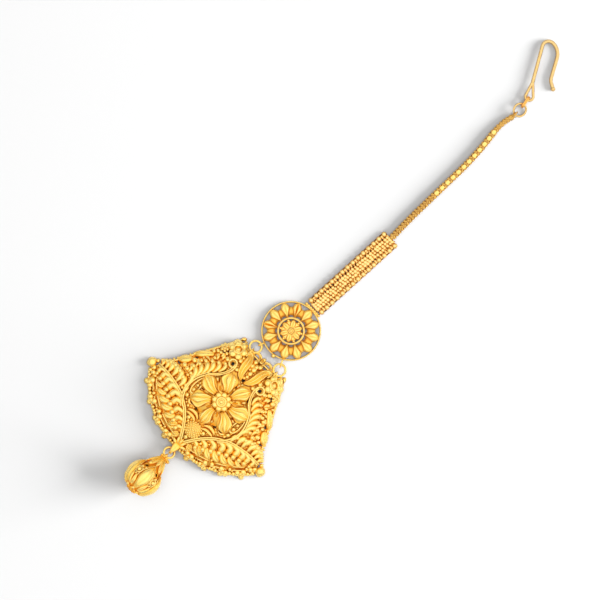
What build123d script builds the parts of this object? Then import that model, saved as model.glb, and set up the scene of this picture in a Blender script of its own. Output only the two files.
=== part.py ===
"""A gold maang tikka, a forehead jewel that hangs from a hair hook on a fine chain.

It lies face up on a flat surface, long axis along Y: the hair hook at +Y, the fan pendant and its
ball drop at -Y. Z = 0 is the surface, and the origin is the middle of the footprint. Millimetres.
"""

from build123d import *
from math import acos, asin, cos, degrees, pi, radians, sin, tan
import os

os.makedirs("parts", exist_ok=True)

# ---------------------------------------------------------------- driving sizes
# Fan pendant, in its own frame with the flower at its centre.
pendant_x, pendant_y = 0.0, -40.6
fan_top_y, fan_top_half = 12.3, 6.9
fan_side_half, fan_side_y = 16.4, -4.2
fan_hem_half, fan_hem_radius, fan_hem_centre_y = 16.7, 21.2, 6.6
fan_rim_height, fan_bevel_height = 0.9, 3.0
fan_dome_radius, fan_apex = 40.0, 4.9
fan_wall, fan_sheet = 0.75, 0.7

# Flower on the pendant.
flower_petals = 7
flower_inner, flower_outer, flower_petal_half = 1.9, 6.0, 1.35
flower_petal_sink = 0.45
flower_boss_radius, flower_boss_height, flower_bead_radius = 2.1, 0.8, 0.75
corner_flower_x, corner_flower_y, corner_flower_radius = 5.6, 10.6, 1.85
corner_flower_height = 1.7

# Beads soldered round the pendant.
corner_bead_radius, corner_bead_x, corner_bead_y = 1.15, 17.4, -5.0
hem_bead_radius, hem_bead_inset, hem_bead_height = 0.72, 0.75, 1.45
hem_bead_angles = (9, 17, 25, 33, 41, 49)

# Piercings through the pendant's sheet, mirrored left and right.
piercings = (
    # x, y, radius
    (4.0, 8.0, 0.50),
    (4.5, 4.7, 0.55),
    (2.5, -6.9, 0.50),
    (12.8, -0.6, 0.42),
    (12.9, -4.4, 0.50),
    (15.0, -4.9, 0.45),
    (7.7, 7.6, 0.40),
    (10.8, 2.9, 0.40),
)

# Leaf bail under the pendant, hollowed for the drop's ring.
bail_top_y, bail_end_y, bail_half, bail_height = -13.5, -16.5, 0.72, 1.4

# Rosette.
rosette_x, rosette_y = -0.4, -18.4
rosette_radius, rosette_band, rosette_band_height = 6.7, 0.45, 0.8
rosette_petals = 12
rosette_petal_inner, rosette_petal_outer, rosette_petal_half = 2.9, 6.35, 1.12
rosette_petal_height = 0.75
web_inner, web_outer, web_low, web_high = 3.9, 5.2, 0.25, 0.75
cup_radius, cup_wall, cup_height, cup_floor = 3.0, 0.3, 1.35, 0.45
cup_holes, cup_hole_radius, cup_hole_circle = 6, 0.3, 2.25
centre_petals, centre_petal_radius, centre_petal_circle = 6, 0.74, 1.3
centre_petal_height, centre_bead_radius, centre_bead_height = 0.95, 0.5, 1.5
bar_width, bar_depth, bar_height, bar_y = 4.3, 0.7, 1.0, 6.8
solder_ball_x, solder_ball_y, solder_ball_radius = 1.2, -6.75, 0.5

# Rings and the wire eyes they pass through.
ring_wire_radius = 0.25
eye_radius, eye_wire_radius = 0.62, 0.2
link_radius, link_height = 1.35, 1.15
link_rings = (
    # angle from straight down the rosette, distance from its centre
    (-20.4, 8.72),
    (29.0, 9.2),
)
drop_ring_radius, drop_ring_x, drop_ring_y, drop_ring_height, drop_ring_tilt = (
    1.225, -0.1, -57.15, 1.88, 20.3
)
hook_ring_radius, hook_ring_x, hook_ring_y, hook_ring_height, hook_ring_tilt = (
    1.5, 0.22, 53.3, 0.92, 26.2
)
# Upright double-turn link from the hook's eye to its ring.
hook_link_radius, hook_link_turn_offset = 0.7, 0.15

# Ball drop, its axis from the ball's centre up to the eye that hangs on the ring.
ball_x, ball_y, ball_radius, ball_wall = -0.25, -65.1, 4.4, 0.65
neck_radius, neck_gap = 0.55, 0.3
ball_windows, window_length, window_width = 6, 5.0, 1.7

# Chain, a fine tube along its route, from the hook's ring down to the strands.
chain_radius, chain_height, chain_eye_radius = 0.8, 0.8, 0.72
chain_route = (
    # x, y
    (0.15, 51.10),
    (-0.35, 48.6),
    (-0.30, 45.8),
    (0.20, 41.6),
    (0.52, 36.6),
    (0.50, 30.6),
    (0.40, 24.1),
    (0.38, 18.1),
    (0.52, 12.6),
)

# Woven strands, and a row of beads down each side of them.
strand_low = (-0.4, -11.05)
strand_high = (0.56, 12.3)
strands, strand_radius, strand_pitch, strand_height = 3, 0.4, 0.66, 0.5
strand_bar_width, strand_bar_depth, strand_bar_height = 2.1, 0.5, 0.95
row_beads, row_bead_radius, row_pitch, row_start = 15, 0.62, 1.585, 0.64
row_offset, row_thread_radius = 1.76, 0.28

# Hair hook, a bent wire that leans on its bend, its tip and the low side of its eye.
hook_wire_radius, hook_tip_radius, hook_eye_wire_radius = 0.42, 0.55, 0.33
hook_neck = (-2.3, 59.9, 0.92)
hook_bend = (-3.0, 68.45, 0.425)
hook_tip = (2.1, 61.98, 0.56)
hook_route = (
    # x, y, radius of the bend there
    (-2.3, 59.9, 0),
    (-7.77, 69.25, 1.45),
    (-3.20, 69.25, 3.3),
    (0.32, 62.94, 2.2),
    (2.1, 61.98, 0),
)
hook_eye_length, hook_eye_half, hook_eye_turn, hook_eye_tilt = 4.38, 0.88, -57.6, 0.0


# ---------------------------------------------------------------- shared shapes
def drop_body(length, half):
    """A round drop along +X: a cone from its tip at the origin, tangent to a ball."""
    centre = length - half
    flank = acos(half / centre)
    touch = (centre - half * cos(flank), half * sin(flank))
    crown = (centre + half * sin(flank / 2), half * cos(flank / 2))
    with BuildPart() as body:
        with BuildSketch(Plane.XY):
            with BuildLine():
                Line((0, 0), touch)
                ThreePointArc(touch, crown, (length, 0))
                Line((length, 0), (0, 0))
            make_face()
        revolve(axis=Axis.X)
    return body.part


def wire_eye(place, radius, run):
    """A long wire eye in the plane given, round at both ends, its far centre run along X."""
    with BuildPart() as loop:
        with BuildLine(place) as path:
            Line((0, -radius), (run, -radius))
            ThreePointArc((run, -radius), (run + radius, 0), (run, radius))
            Line((run, radius), (0, radius))
            ThreePointArc((0, radius), (-radius, 0), (0, -radius))
        with BuildSketch(Plane(origin=path.wire() @ 0, z_dir=path.wire() % 0)):
            Circle(eye_wire_radius)
        sweep()
    return loop.part


def wire_ring(radius, x, y, height, rotation=(0, 0, 0)):
    with BuildPart() as ring:
        with Locations(Location((x, y, height), rotation)):
            Torus(radius, ring_wire_radius)
    return ring


def bend_radii(points):
    """Radius at each inner corner that leaves a short straight run between the bends."""
    radii = []
    for before, corner, after in zip(points, points[1:], points[2:]):
        first = (Vector(*corner) - Vector(*before))
        second = (Vector(*after) - Vector(*corner))
        turn = radians(first.get_angle(second))
        radii.append(0.45 * min(first.length, second.length) / tan(turn / 2))
    return radii


def save(piece, name):
    piece.part.label = name
    export_step(piece.part, f"parts/{name}.step")


# ---------------------------------------------------------------- fan pendant
def fan_body(inset, drop):
    """The domed fan as a solid, drawn in all round by inset and lowered by drop."""
    base = Plane(origin=(pendant_x, pendant_y, 0))
    hem_y = fan_hem_centre_y - (fan_hem_radius**2 - fan_hem_half**2) ** 0.5
    with BuildPart() as body:
        with BuildSketch(base):
            with BuildLine():
                Polyline(
                    (-fan_hem_half, hem_y),
                    (-fan_side_half, fan_side_y),
                    (-fan_top_half, fan_top_y),
                    (fan_top_half, fan_top_y),
                    (fan_side_half, fan_side_y),
                    (fan_hem_half, hem_y),
                )
                ThreePointArc(
                    (fan_hem_half, hem_y),
                    (0, fan_hem_centre_y - fan_hem_radius),
                    (-fan_hem_half, hem_y),
                )
            make_face()
            if inset:
                offset(amount=-inset, kind=Kind.INTERSECTION, mode=Mode.REPLACE)
        extrude(amount=fan_rim_height - drop)
        extrude(body.faces().sort_by(Axis.Z)[-1], amount=fan_bevel_height, taper=45)
        extrude(body.faces().sort_by(Axis.Z)[-1], amount=fan_apex)
        with Locations((pendant_x, pendant_y, fan_apex - fan_dome_radius)):
            Sphere(fan_dome_radius - drop, mode=Mode.INTERSECT)
    return body.part


def dome_height(x, y):
    """Height of the dome's round top over a point in the pendant's frame."""
    return fan_apex - fan_dome_radius + (fan_dome_radius**2 - x**2 - y**2) ** 0.5


flower_petal = drop_body(flower_outer - flower_inner, flower_petal_half)
with BuildPart() as pendant:
    add(fan_body(0, 0))
    with Locations((pendant_x, pendant_y, 0)):
        # Seven-petalled flower round a beaded boss.
        with Locations((0, 0, fan_apex - 0.3)):
            Cylinder(
                flower_boss_radius,
                0.3 + flower_boss_height,
                align=(Align.CENTER, Align.CENTER, Align.MIN),
            )
        with Locations((0, 0, fan_apex + flower_boss_height)):
            Sphere(flower_bead_radius)
        for n in range(flower_petals):
            turn = radians(-90 + n * 360 / flower_petals)
            start = (flower_inner * cos(turn), flower_inner * sin(turn))
            middle = (flower_inner + flower_outer) / 2
            height = dome_height(middle, 0) - flower_petal_sink
            dip = degrees(asin(middle / fan_dome_radius))
            with Locations(Location((*start, height), (0, dip, degrees(turn)))):
                add(flower_petal)
        # A small flower in each top corner.
        with Locations(
            [(side * corner_flower_x, corner_flower_y, corner_flower_height) for side in (-1, 1)]
        ):
            Sphere(corner_flower_radius)
        # Beads at the lower corners and along the hem.
        with Locations(
            [(side * corner_bead_x, corner_bead_y, corner_bead_radius) for side in (-1, 1)]
        ):
            Sphere(corner_bead_radius)
        hem_circle = fan_hem_radius - hem_bead_inset
        for angle in hem_bead_angles:
            x = hem_circle * sin(radians(angle))
            y = fan_hem_centre_y - hem_circle * cos(radians(angle))
            with Locations([(side * x, y, hem_bead_height) for side in (-1, 1)]):
                Sphere(hem_bead_radius)
        # Leaf bail.
        with Locations(Location((0, bail_top_y, bail_height), (0, 0, -90))):
            add(drop_body(bail_top_y - bail_end_y, bail_half))
    # Eyes at the top edge for the two link rings.
    for angle, distance in link_rings:
        x = rosette_x + distance * sin(radians(angle))
        y = rosette_y - distance * cos(radians(angle)) - link_radius
        add(wire_eye(Plane((x, y, link_height), x_dir=(0, -1, 0), z_dir=(1, 0, 0)), eye_radius, 0.3))
    # Hollow back, piercings, and the bail's way for the drop's ring.
    add(fan_body(fan_wall, fan_sheet), mode=Mode.SUBTRACT)
    with Locations((pendant_x, pendant_y, 0)):
        for x, y, radius in piercings:
            with Locations((-x, y), (x, y)):
                Cylinder(radius, 20, mode=Mode.SUBTRACT)
    with Locations(
        Location((drop_ring_x, drop_ring_y, drop_ring_height), (-drop_ring_tilt, 0, 0))
    ):
        Torus(drop_ring_radius, ring_wire_radius + 0.13, mode=Mode.SUBTRACT)
    split(bisect_by=Plane.XY, keep=Keep.TOP)
save(pendant, "pendant")

# ---------------------------------------------------------------- rosette
rosette_petal = drop_body(rosette_petal_outer - rosette_petal_inner, rosette_petal_half)
rosette_base = Plane(origin=(rosette_x, rosette_y, 0))
with BuildPart() as rosette:
    with BuildSketch(rosette_base):
        Circle(rosette_radius)
        Circle(rosette_radius - rosette_band, mode=Mode.SUBTRACT)
    extrude(amount=rosette_band_height)
    with BuildSketch(rosette_base.offset(web_low)):
        Circle(web_outer)
        Circle(web_inner, mode=Mode.SUBTRACT)
    extrude(amount=web_high - web_low)
    with Locations((rosette_x, rosette_y, 0)):
        for n in range(rosette_petals):
            turn = radians(90 + n * 360 / rosette_petals)
            start = (rosette_petal_inner * cos(turn), rosette_petal_inner * sin(turn))
            with Locations(Location((*start, rosette_petal_height), (0, 0, degrees(turn)))):
                add(rosette_petal)
    # Centre cup with its own small flower.
    with BuildSketch(rosette_base):
        Circle(cup_radius - cup_wall)
    extrude(amount=cup_height + 1, mode=Mode.SUBTRACT)
    with BuildSketch(rosette_base):
        Circle(cup_radius)
        Circle(cup_radius - cup_wall, mode=Mode.SUBTRACT)
    extrude(amount=cup_height)
    with BuildSketch(rosette_base):
        Circle(cup_radius)
        with PolarLocations(cup_hole_circle, cup_holes, start_angle=30):
            Circle(cup_hole_radius, mode=Mode.SUBTRACT)
    extrude(amount=cup_floor)
    with Locations(rosette_base.offset(centre_petal_height)):
        with PolarLocations(centre_petal_circle, centre_petals):
            Sphere(centre_petal_radius)
    with Locations(rosette_base.offset(centre_bead_height)):
        Sphere(centre_bead_radius)
    with Locations(rosette_base.offset(0.1)):
        Cylinder(
            centre_petal_circle,
            centre_bead_height,
            align=(Align.CENTER, Align.CENTER, Align.MIN),
        )
    # Bar towards the strands, solder ball, and the two eyes below.
    with Locations((rosette_x, rosette_y + bar_y, bar_height / 2)):
        Box(bar_width, bar_depth, bar_height)
    with Locations((rosette_x + solder_ball_x, rosette_y + solder_ball_y, solder_ball_radius)):
        Sphere(solder_ball_radius)
    for angle, distance in link_rings:
        out = (sin(radians(angle)), -cos(radians(angle)))
        near = rosette_radius + eye_radius - 0.15
        place = Plane(
            (rosette_x + near * out[0], rosette_y + near * out[1], link_height),
            x_dir=(*out, 0),
            z_dir=(-out[1], out[0], 0),
        )
        add(wire_eye(place, eye_radius, distance - link_radius - near))
    split(bisect_by=Plane.XY, keep=Keep.TOP)
save(rosette, "rosette")

# ---------------------------------------------------------------- rings
for name, (angle, distance) in zip(("link_ring_left", "link_ring_right"), link_rings):
    x = rosette_x + distance * sin(radians(angle))
    y = rosette_y - distance * cos(radians(angle))
    save(wire_ring(link_radius, x, y, link_height), name)
drop_ring = wire_ring(
    drop_ring_radius, drop_ring_x, drop_ring_y, drop_ring_height, (-drop_ring_tilt, 0, 0)
)
save(drop_ring, "drop_ring")
hook_ring = wire_ring(
    hook_ring_radius, hook_ring_x, hook_ring_y, hook_ring_height, (0, hook_ring_tilt, 0)
)
save(hook_ring, "hook_ring")
# The link runs from the ring to the round end of the hook's eye, straight between their middles.
hook_ring_middle = Vector(hook_ring_x, hook_ring_y, hook_ring_height)
hook_eye_middle = Vector(*hook_neck) + Vector(hook_eye_length - hook_eye_half, 0, 0).rotate(
    Axis.Z, hook_eye_turn
)
hook_link_ahead = (hook_eye_middle - hook_ring_middle).normalized()
hook_link_start = hook_ring_middle + hook_ring_radius * (
    hook_link_ahead - Vector(0, 0, hook_link_ahead.X * sin(radians(hook_ring_tilt)))
)
hook_link_run = hook_eye_middle - hook_link_ahead * hook_eye_half - hook_link_start
hook_link_across = hook_link_ahead.cross(Vector(0, 0, 1))
with BuildPart() as hook_link:
    for side in (-1, 1):
        start = hook_link_start + hook_link_across * side * hook_link_turn_offset
        place = Plane(origin=start, x_dir=hook_link_run, z_dir=hook_link_across)
        add(wire_eye(place, hook_link_radius, hook_link_run.length))
save(hook_link, "hook_link")

# ---------------------------------------------------------------- ball drop
# Its own frame has X up the axis, from the ball's centre to the eye on the ring.
ball_centre = Vector(ball_x, ball_y, ball_radius)
drop_eye = Vector(
    drop_ring_x,
    drop_ring_y - drop_ring_radius * cos(radians(drop_ring_tilt)),
    drop_ring_height + drop_ring_radius * sin(radians(drop_ring_tilt)),
)
drop_axis = drop_eye - ball_centre
neck_end = drop_axis.length - eye_radius
shoulder = acos(ball_radius / (neck_end + neck_gap))
shoulder_point = (ball_radius * cos(shoulder), ball_radius * sin(shoulder))
with BuildPart() as cage:
    with BuildSketch(Plane.XY):
        with BuildLine():
            Line((-ball_radius, 0), (neck_end, 0))
            Line((neck_end, 0), (neck_end, neck_radius))
            Line((neck_end, neck_radius), shoulder_point)
            ThreePointArc(shoulder_point, (0, ball_radius), (-ball_radius, 0))
        make_face()
    revolve(axis=Axis.X)
    Sphere(ball_radius - ball_wall, mode=Mode.SUBTRACT)
    for n in range(ball_windows):
        turn = radians((n + 0.5) * 360 / ball_windows)
        with BuildSketch(Plane((0, 0, 0), x_dir=(1, 0, 0), z_dir=(0, sin(turn), cos(turn)))):
            SlotOverall(window_length, window_width)
        extrude(amount=ball_radius + 1, mode=Mode.SUBTRACT)
    add(wire_eye(Plane((neck_end + eye_radius, 0, 0), x_dir=(1, 0, 0), z_dir=(0, 1, 0)), eye_radius, 0.05))
with BuildPart() as drop:
    side = Vector(0, 0, 1).cross(drop_axis)
    with Locations(Plane(ball_centre, x_dir=drop_axis, z_dir=drop_axis.cross(side)).location):
        add(cage.part)
save(drop, "drop")

# ---------------------------------------------------------------- chain
chain_points = [(x, y, chain_height) for x, y in chain_route]
chain_bends = bend_radii(chain_points)
with BuildPart() as chain:
    with BuildLine() as chain_path:
        FilletPolyline(*chain_points, radius=chain_bends)
    with BuildSketch(Plane(origin=chain_path.line @ 0, z_dir=chain_path.line % 0)):
        Circle(chain_radius)
    sweep()
    chain_eye_low = chain_route[0][1] - 0.1
    add(
        wire_eye(
            Plane(
                (chain_route[0][0], chain_eye_low + chain_eye_radius, hook_ring_height),
                x_dir=(0, 1, 0),
                z_dir=(1, 0, 0),
            ),
            chain_eye_radius,
            0.05,
        )
    )
save(chain, "chain")
length = chain_path.wire().length
print("chain bends", [round(r, 1) for r in chain_bends], "length", round(length, 1))
print("chain volume", round(chain.part.volume, 1), "tube", round(pi * chain_radius**2 * length, 1))

# ---------------------------------------------------------------- strands and bead rows
strand_axis = Vector(*strand_high) - Vector(*strand_low)
strand_base = Plane(origin=(*strand_low, 0), x_dir=strand_axis, z_dir=(0, 0, 1))
with BuildPart() as strand_band:
    for n in range(strands):
        across = (n - (strands - 1) / 2) * strand_pitch
        with BuildSketch(
            Plane(
                origin=strand_base.from_local_coords((0, across, strand_height)),
                z_dir=strand_base.x_dir,
            )
        ):
            Circle(strand_radius)
        extrude(amount=strand_axis.length)
    for along in (strand_bar_depth / 2, strand_axis.length - strand_bar_depth / 2):
        with BuildSketch(strand_base):
            with Locations((along, 0)):
                Rectangle(strand_bar_depth, strand_bar_width)
        extrude(amount=strand_bar_height)
save(strand_band, "strand_band")

row_length = (row_beads - 1) * row_pitch
for name, side in (("bead_row_left", 1), ("bead_row_right", -1)):
    with BuildPart() as row:
        with BuildSketch(
            Plane(
                origin=strand_base.from_local_coords((row_start, side * row_offset, row_bead_radius)),
                z_dir=strand_base.x_dir,
            )
        ):
            Circle(row_thread_radius)
        extrude(amount=row_length)
        for n in range(row_beads):
            along = row_start + n * row_pitch
            with Locations(
                strand_base.from_local_coords((along, side * row_offset, row_bead_radius))
            ):
                Sphere(row_bead_radius)
    save(row, name)

# ---------------------------------------------------------------- hair hook
# The bent wire lies in one plane, through its neck, its bend and its tip.
hook_plane = Plane(
    origin=hook_neck,
    x_dir=Vector(*hook_bend) - Vector(*hook_neck),
    z_dir=(Vector(*hook_tip) - Vector(*hook_neck)).cross(Vector(*hook_bend) - Vector(*hook_neck)),
)


def on_hook_plane(x, y):
    """A point of the hook's plane above x, y, in the plane's own two coordinates."""
    lean = hook_plane.z_dir
    height = hook_neck[2] - (lean.X * (x - hook_neck[0]) + lean.Y * (y - hook_neck[1])) / lean.Z
    point = hook_plane.to_local_coords(Vector(x, y, height))
    return (point.X, point.Y)


with BuildPart() as hook_eye:
    # Teardrop loop with its point at the neck, drawn along +X, one half then its mirror.
    centre = hook_eye_length - hook_eye_half
    flank = acos(hook_eye_half / centre)
    touch = (centre - hook_eye_half * cos(flank), hook_eye_half * sin(flank))
    crown = (centre + hook_eye_half * sin(flank / 2), hook_eye_half * cos(flank / 2))
    with BuildLine() as hook_eye_path:
        Line((0, 0), touch)
        ThreePointArc(touch, crown, (hook_eye_length, 0))
    with BuildSketch(Plane(origin=(0, 0, 0), z_dir=(*touch, 0))):
        Circle(hook_eye_wire_radius)
    sweep()
    mirror(about=Plane.XZ)
    Sphere(hook_wire_radius)
with BuildPart() as hair_hook:
    with BuildLine(hook_plane) as hook_path:
        FilletPolyline(
            *[on_hook_plane(x, y) for x, y, _ in hook_route],
            radius=[radius for _, _, radius in hook_route[1:-1]],
        )
    with BuildSketch(Plane(origin=hook_path.line @ 0, z_dir=hook_path.line % 0)):
        Circle(hook_wire_radius)
    sweep()
    with Locations(hook_path.line @ 1):
        Sphere(hook_tip_radius)
    turned = Location(hook_neck, (0, 0, hook_eye_turn)) * Location((0, 0, 0), (hook_eye_tilt, 0, 0))
    with Locations(turned):
        add(hook_eye.part)
save(hair_hook, "hair_hook")
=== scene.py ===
from math import asin, atan2, cos, degrees, hypot, pi, radians, sin, sqrt, tau

import bpy
import numpy as np
from mathutils import Matrix, Vector
from mathutils.geometry import delaunay_2d_cdt


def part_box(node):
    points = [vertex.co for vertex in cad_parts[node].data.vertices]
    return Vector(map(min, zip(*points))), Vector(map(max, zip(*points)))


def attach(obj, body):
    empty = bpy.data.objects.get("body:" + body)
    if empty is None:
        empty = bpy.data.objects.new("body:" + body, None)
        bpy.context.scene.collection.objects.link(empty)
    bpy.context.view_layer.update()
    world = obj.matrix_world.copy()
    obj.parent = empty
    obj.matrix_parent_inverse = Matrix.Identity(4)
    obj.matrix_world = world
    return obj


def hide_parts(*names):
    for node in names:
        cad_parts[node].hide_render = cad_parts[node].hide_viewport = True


mm = 0.001
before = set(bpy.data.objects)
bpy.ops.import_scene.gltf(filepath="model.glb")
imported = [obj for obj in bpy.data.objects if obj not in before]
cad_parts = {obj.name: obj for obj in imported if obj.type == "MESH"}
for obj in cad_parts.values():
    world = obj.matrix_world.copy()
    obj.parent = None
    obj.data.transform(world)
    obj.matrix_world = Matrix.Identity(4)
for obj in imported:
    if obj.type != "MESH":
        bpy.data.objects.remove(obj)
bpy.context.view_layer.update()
chance = np.random.default_rng(11)


# Kit: curves and small shapes
def gridFaces(rows, columns, wrapRows=False, wrapColumns=False):
    # quads between neighbouring points of a rows by columns grid
    down = np.arange(rows if wrapRows else rows - 1)[:, None]
    over = np.arange(columns if wrapColumns else columns - 1)[None, :]
    nextDown = (down + 1) % rows
    nextOver = (over + 1) % columns
    corners = [
        down * columns + over,
        down * columns + nextOver,
        nextDown * columns + nextOver,
        nextDown * columns + over,
    ]
    return np.stack(np.broadcast_arrays(*corners), -1).reshape(-1, 4)


def runAlong(path):
    # how far along a path each of its points lies
    return np.r_[0, np.cumsum(np.linalg.norm(np.diff(path, axis=0), axis=1))]


def pointsAt(path, marks):
    # the points of a path that lie so far along it
    run = runAlong(path)
    return np.stack([np.interp(marks, run, line) for line in path.T], -1)


def smoothCurve(knots, step):
    # points about step apart on a smooth curve through the knots
    knots = np.asarray(knots, float)
    if knots.shape[1] == 2:
        knots = np.c_[knots, np.zeros(len(knots))]
    padded = np.vstack([2 * knots[0] - knots[1], knots, 2 * knots[-1] - knots[-2]])
    t = np.linspace(0, 1, 13)[:-1, None]
    spans = []
    for a, b, c, d in zip(padded, padded[1:], padded[2:], padded[3:]):
        spans.append(
            b + t * (c - a) / 2 + t**2 * (a - 2.5 * b + 2 * c - d / 2) + t**3 * (1.5 * (b - c) + (d - a) / 2)
        )
    fine = np.vstack(spans + [knots[-1:]])
    length = runAlong(fine)[-1]
    return pointsAt(fine, np.linspace(0, length, max(int(round(length / step)) + 1, 4)))


def arc(x, y, radius, start, end, h=0.0, count=9):
    # knots along part of a circle, angles in degrees
    turn = np.radians(np.linspace(start, end, count))
    return np.c_[x + radius * np.cos(turn), y + radius * np.sin(turn), np.full(count, h)]


def frames(path, closed=False, across=None):
    # tangent, side and up at each point; across is the side itself for a path that runs up and down
    if closed:
        ahead = np.roll(path, -1, 0) - np.roll(path, 1, 0)
    else:
        ahead = np.gradient(path, axis=0)
    ahead /= np.linalg.norm(ahead, axis=1)[:, None] + 1e-12
    if across is None:
        side = np.cross((0, 0, 1.0), ahead)
        side /= np.linalg.norm(side, axis=1)[:, None] + 1e-12
    else:
        side = np.array(across, float)[None, :] * np.ones_like(ahead)
    return ahead, side, np.cross(ahead, side)


class Shape:
    # gathers points, faces, how much painted shade each point gets (most in recesses, on sides and on
    # undersides), and the discs that are taken up

    def __init__(self):
        self.points = []
        self.faces = []
        self.paintedShade = []
        self.taken = []
        self.size = 0
        # how strongly globes are painted darker towards their undersides, as painted shade
        self.shade = 0.5

    def add(self, points, faces, paintedShade):
        self.points.append(points)
        self.faces.extend((faces + self.size).tolist())
        self.paintedShade.append(np.broadcast_to(paintedShade, len(points)))
        self.size += len(points)

    def cover(self, path, width):
        # remembers the ground under a path, so that the granules keep off it
        width = np.broadcast_to(width, len(path))
        self.taken.extend(zip(path[:, 0], path[:, 1], width))

    def tube(self, path, radius, sides=8, closed=False, strands=0, pitch=1.0, across=None):
        # a wire, or with strands a twisted rope that turns once in pitch
        path = np.asarray(path, float)
        radius = np.broadcast_to(radius, len(path)).astype(float)
        ahead, side, up = frames(path, closed, across)
        self.cover(path, radius)
        if not closed:
            path, radius, side, up = roundEnds(path, radius, ahead, side, up)
        around = np.linspace(0, tau, sides, endpoint=False)[None, :]
        along = runAlong(path)[:, None]
        reach = radius[:, None] * np.ones_like(around)
        if strands:
            reach = reach * (0.88 + 0.17 * np.abs(np.cos(strands / 2 * (around - tau * along / pitch))))
        spread = side[:, None] * (np.cos(around) * reach)[..., None]
        points = path[:, None] + spread + up[:, None] * (np.sin(around) * reach)[..., None]
        # painted shade on the wire's underside, or an even light painted shade on an upright wire
        paintedShade = np.broadcast_to(0.5 - 0.5 * np.sin(around) if across is None else 0.3, reach.shape)
        faces = gridFaces(len(path), sides, closed, True)
        self.add(points.reshape(-1, 3), faces, paintedShade.ravel())

    def leaf(self, path, width, relief, columns=11, foot=0.28, across=None):
        # a strip along path, width(t) wide each way and relief(t, s) high, with sides that go down to a
        # flat underside
        path = np.asarray(path, float)
        _, side, up = frames(path, False, across)
        t = np.linspace(0, 1, len(path))[:, None]
        s = np.linspace(-1, 1, columns)[None, :]
        half = width(t)
        # the relief gives the height and the painted shade across the strip
        height, paintedShade = relief(t, s)
        height = np.broadcast_to(height, (len(path), columns))
        paintedShade = np.broadcast_to(paintedShade, (len(path), columns))
        self.cover(path, half[:, 0] * 0.9)
        s = np.c_[s[:, :1], s, s[:, -1:]]
        lift = np.full((len(path), 1), -foot)
        height = np.hstack([lift, height, lift])
        # the sides going down to the foot are painted fully in shade
        paintedShade = np.hstack([np.ones_like(lift), paintedShade, np.ones_like(lift)])
        points = path[:, None] + side[:, None] * (s * half)[..., None] + up[:, None] * height[..., None]
        faces = gridFaces(len(path), columns + 2, False, True)[:, ::-1]
        self.add(points.reshape(-1, 3), faces, paintedShade.ravel())

    def slab(self, x, half, start, end, low, high, paintedShade):
        # a flat bar along y
        corners = np.array([(x - half, start), (x + half, start), (x + half, end), (x - half, end)])
        points = np.vstack([np.c_[corners, np.full(4, low)], np.c_[corners, np.full(4, high)]])
        lids = np.array([(3, 2, 1, 0), (4, 5, 6, 7)])
        self.add(points, np.vstack([gridFaces(2, 4, False, True), lids]), paintedShade)

    def plate(self, rims, count, paintedShade, closed=False):
        # a round plate through rims of radius and height, the radius the same all round or one for each point
        turn = np.linspace(0, tau, count + 1)[:-1]
        rows = [np.c_[r * np.cos(turn), r * np.sin(turn), np.full(count, h)] for r, h in rims]
        faces = gridFaces(len(rims), count, closed, True)
        self.add(np.vstack(rows), faces[:, ::-1] if closed else faces, paintedShade)

    def globe(self, segments, rings, place):
        # a closed net from pole to pole, painted darker towards its underside as painted shade
        tilt = np.linspace(-pi / 2, pi / 2, rings)[:, None]
        turn = np.linspace(0, tau, segments, endpoint=False)[None, :]
        level = np.sin(tilt) * np.ones_like(turn)
        points = place([np.cos(tilt) * np.cos(turn), np.cos(tilt) * np.sin(turn), level])
        self.add(points, gridFaces(rings, segments, False, True), (self.shade * (1 - level)).ravel())

    def ball(self, x, y, h, radius, flat=1.0, segments=12):
        # a granule, squashed by flat
        def place(parts):
            points = np.stack([parts[0], parts[1], parts[2] * flat], -1)
            return np.array([x, y, h]) + radius * points.reshape(-1, 3)

        self.taken.append((x, y, radius))
        self.globe(segments, segments // 2 + 1, place)

    def nugget(self, centre, along, across, up, power=1.0, segments=10):
        # an ellipsoid on three half axes, boxier as power falls below 1
        def place(parts):
            parts = [np.sign(p) * np.abs(p) ** power for p in parts]
            axes = np.array([along, across, up], float)
            return np.asarray(centre, float) + np.stack(parts, -1).reshape(-1, 3) @ axes

        self.taken.append((centre[0], centre[1], float(np.linalg.norm(across))))
        self.globe(segments, segments // 2 + 2, place)

    def loop(self, x, y, h, heading, radius, run, wire, segments=10):
        # an upright wire eye: a half circle about x, y, and one a run further on
        turn = radians(heading)
        ahead = np.array([cos(turn), sin(turn), 0])
        swing = np.linspace(0, pi, segments)
        near = [-radius * sin(a) * ahead + (0, 0, radius * cos(a)) for a in swing]
        far = [ahead * (run + radius * sin(a)) + (0, 0, -radius * cos(a)) for a in swing]
        path = np.array(near + far) + (x, y, h)
        keep = np.linalg.norm(path - np.roll(path, 1, 0), axis=1) > 0.02
        self.tube(path[keep], wire, sides=10, closed=True, across=(-ahead[1], ahead[0], 0))

    def ring(self, x, y, h, radius, wire, segments=28, sides=8, **rope):
        # a flat round ring, plain or with strands and pitch for a twisted one
        turn = np.linspace(0, tau, segments, endpoint=False)
        path = np.c_[x + radius * np.cos(turn), y + radius * np.sin(turn), np.full(segments, h)]
        self.tube(path, wire, sides=sides, closed=True, **rope)


def roundEnds(path, radius, ahead, side, up):
    # adds the rings of a round cap at each end of an open wire
    tips = np.radians([8, 35, 62])
    front = path[0] - ahead[0] * radius[0] * np.cos(tips)[:, None]
    back = path[-1] + ahead[-1] * radius[-1] * np.cos(tips[::-1])[:, None]
    path = np.vstack([front, path, back])
    radius = np.r_[radius[0] * np.sin(tips), radius, radius[-1] * np.sin(tips[::-1])]
    side = np.vstack([side[:1].repeat(3, 0), side, side[-1:].repeat(3, 0)])
    up = np.vstack([up[:1].repeat(3, 0), up, up[-1:].repeat(3, 0)])
    return path, radius, side, up


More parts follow.
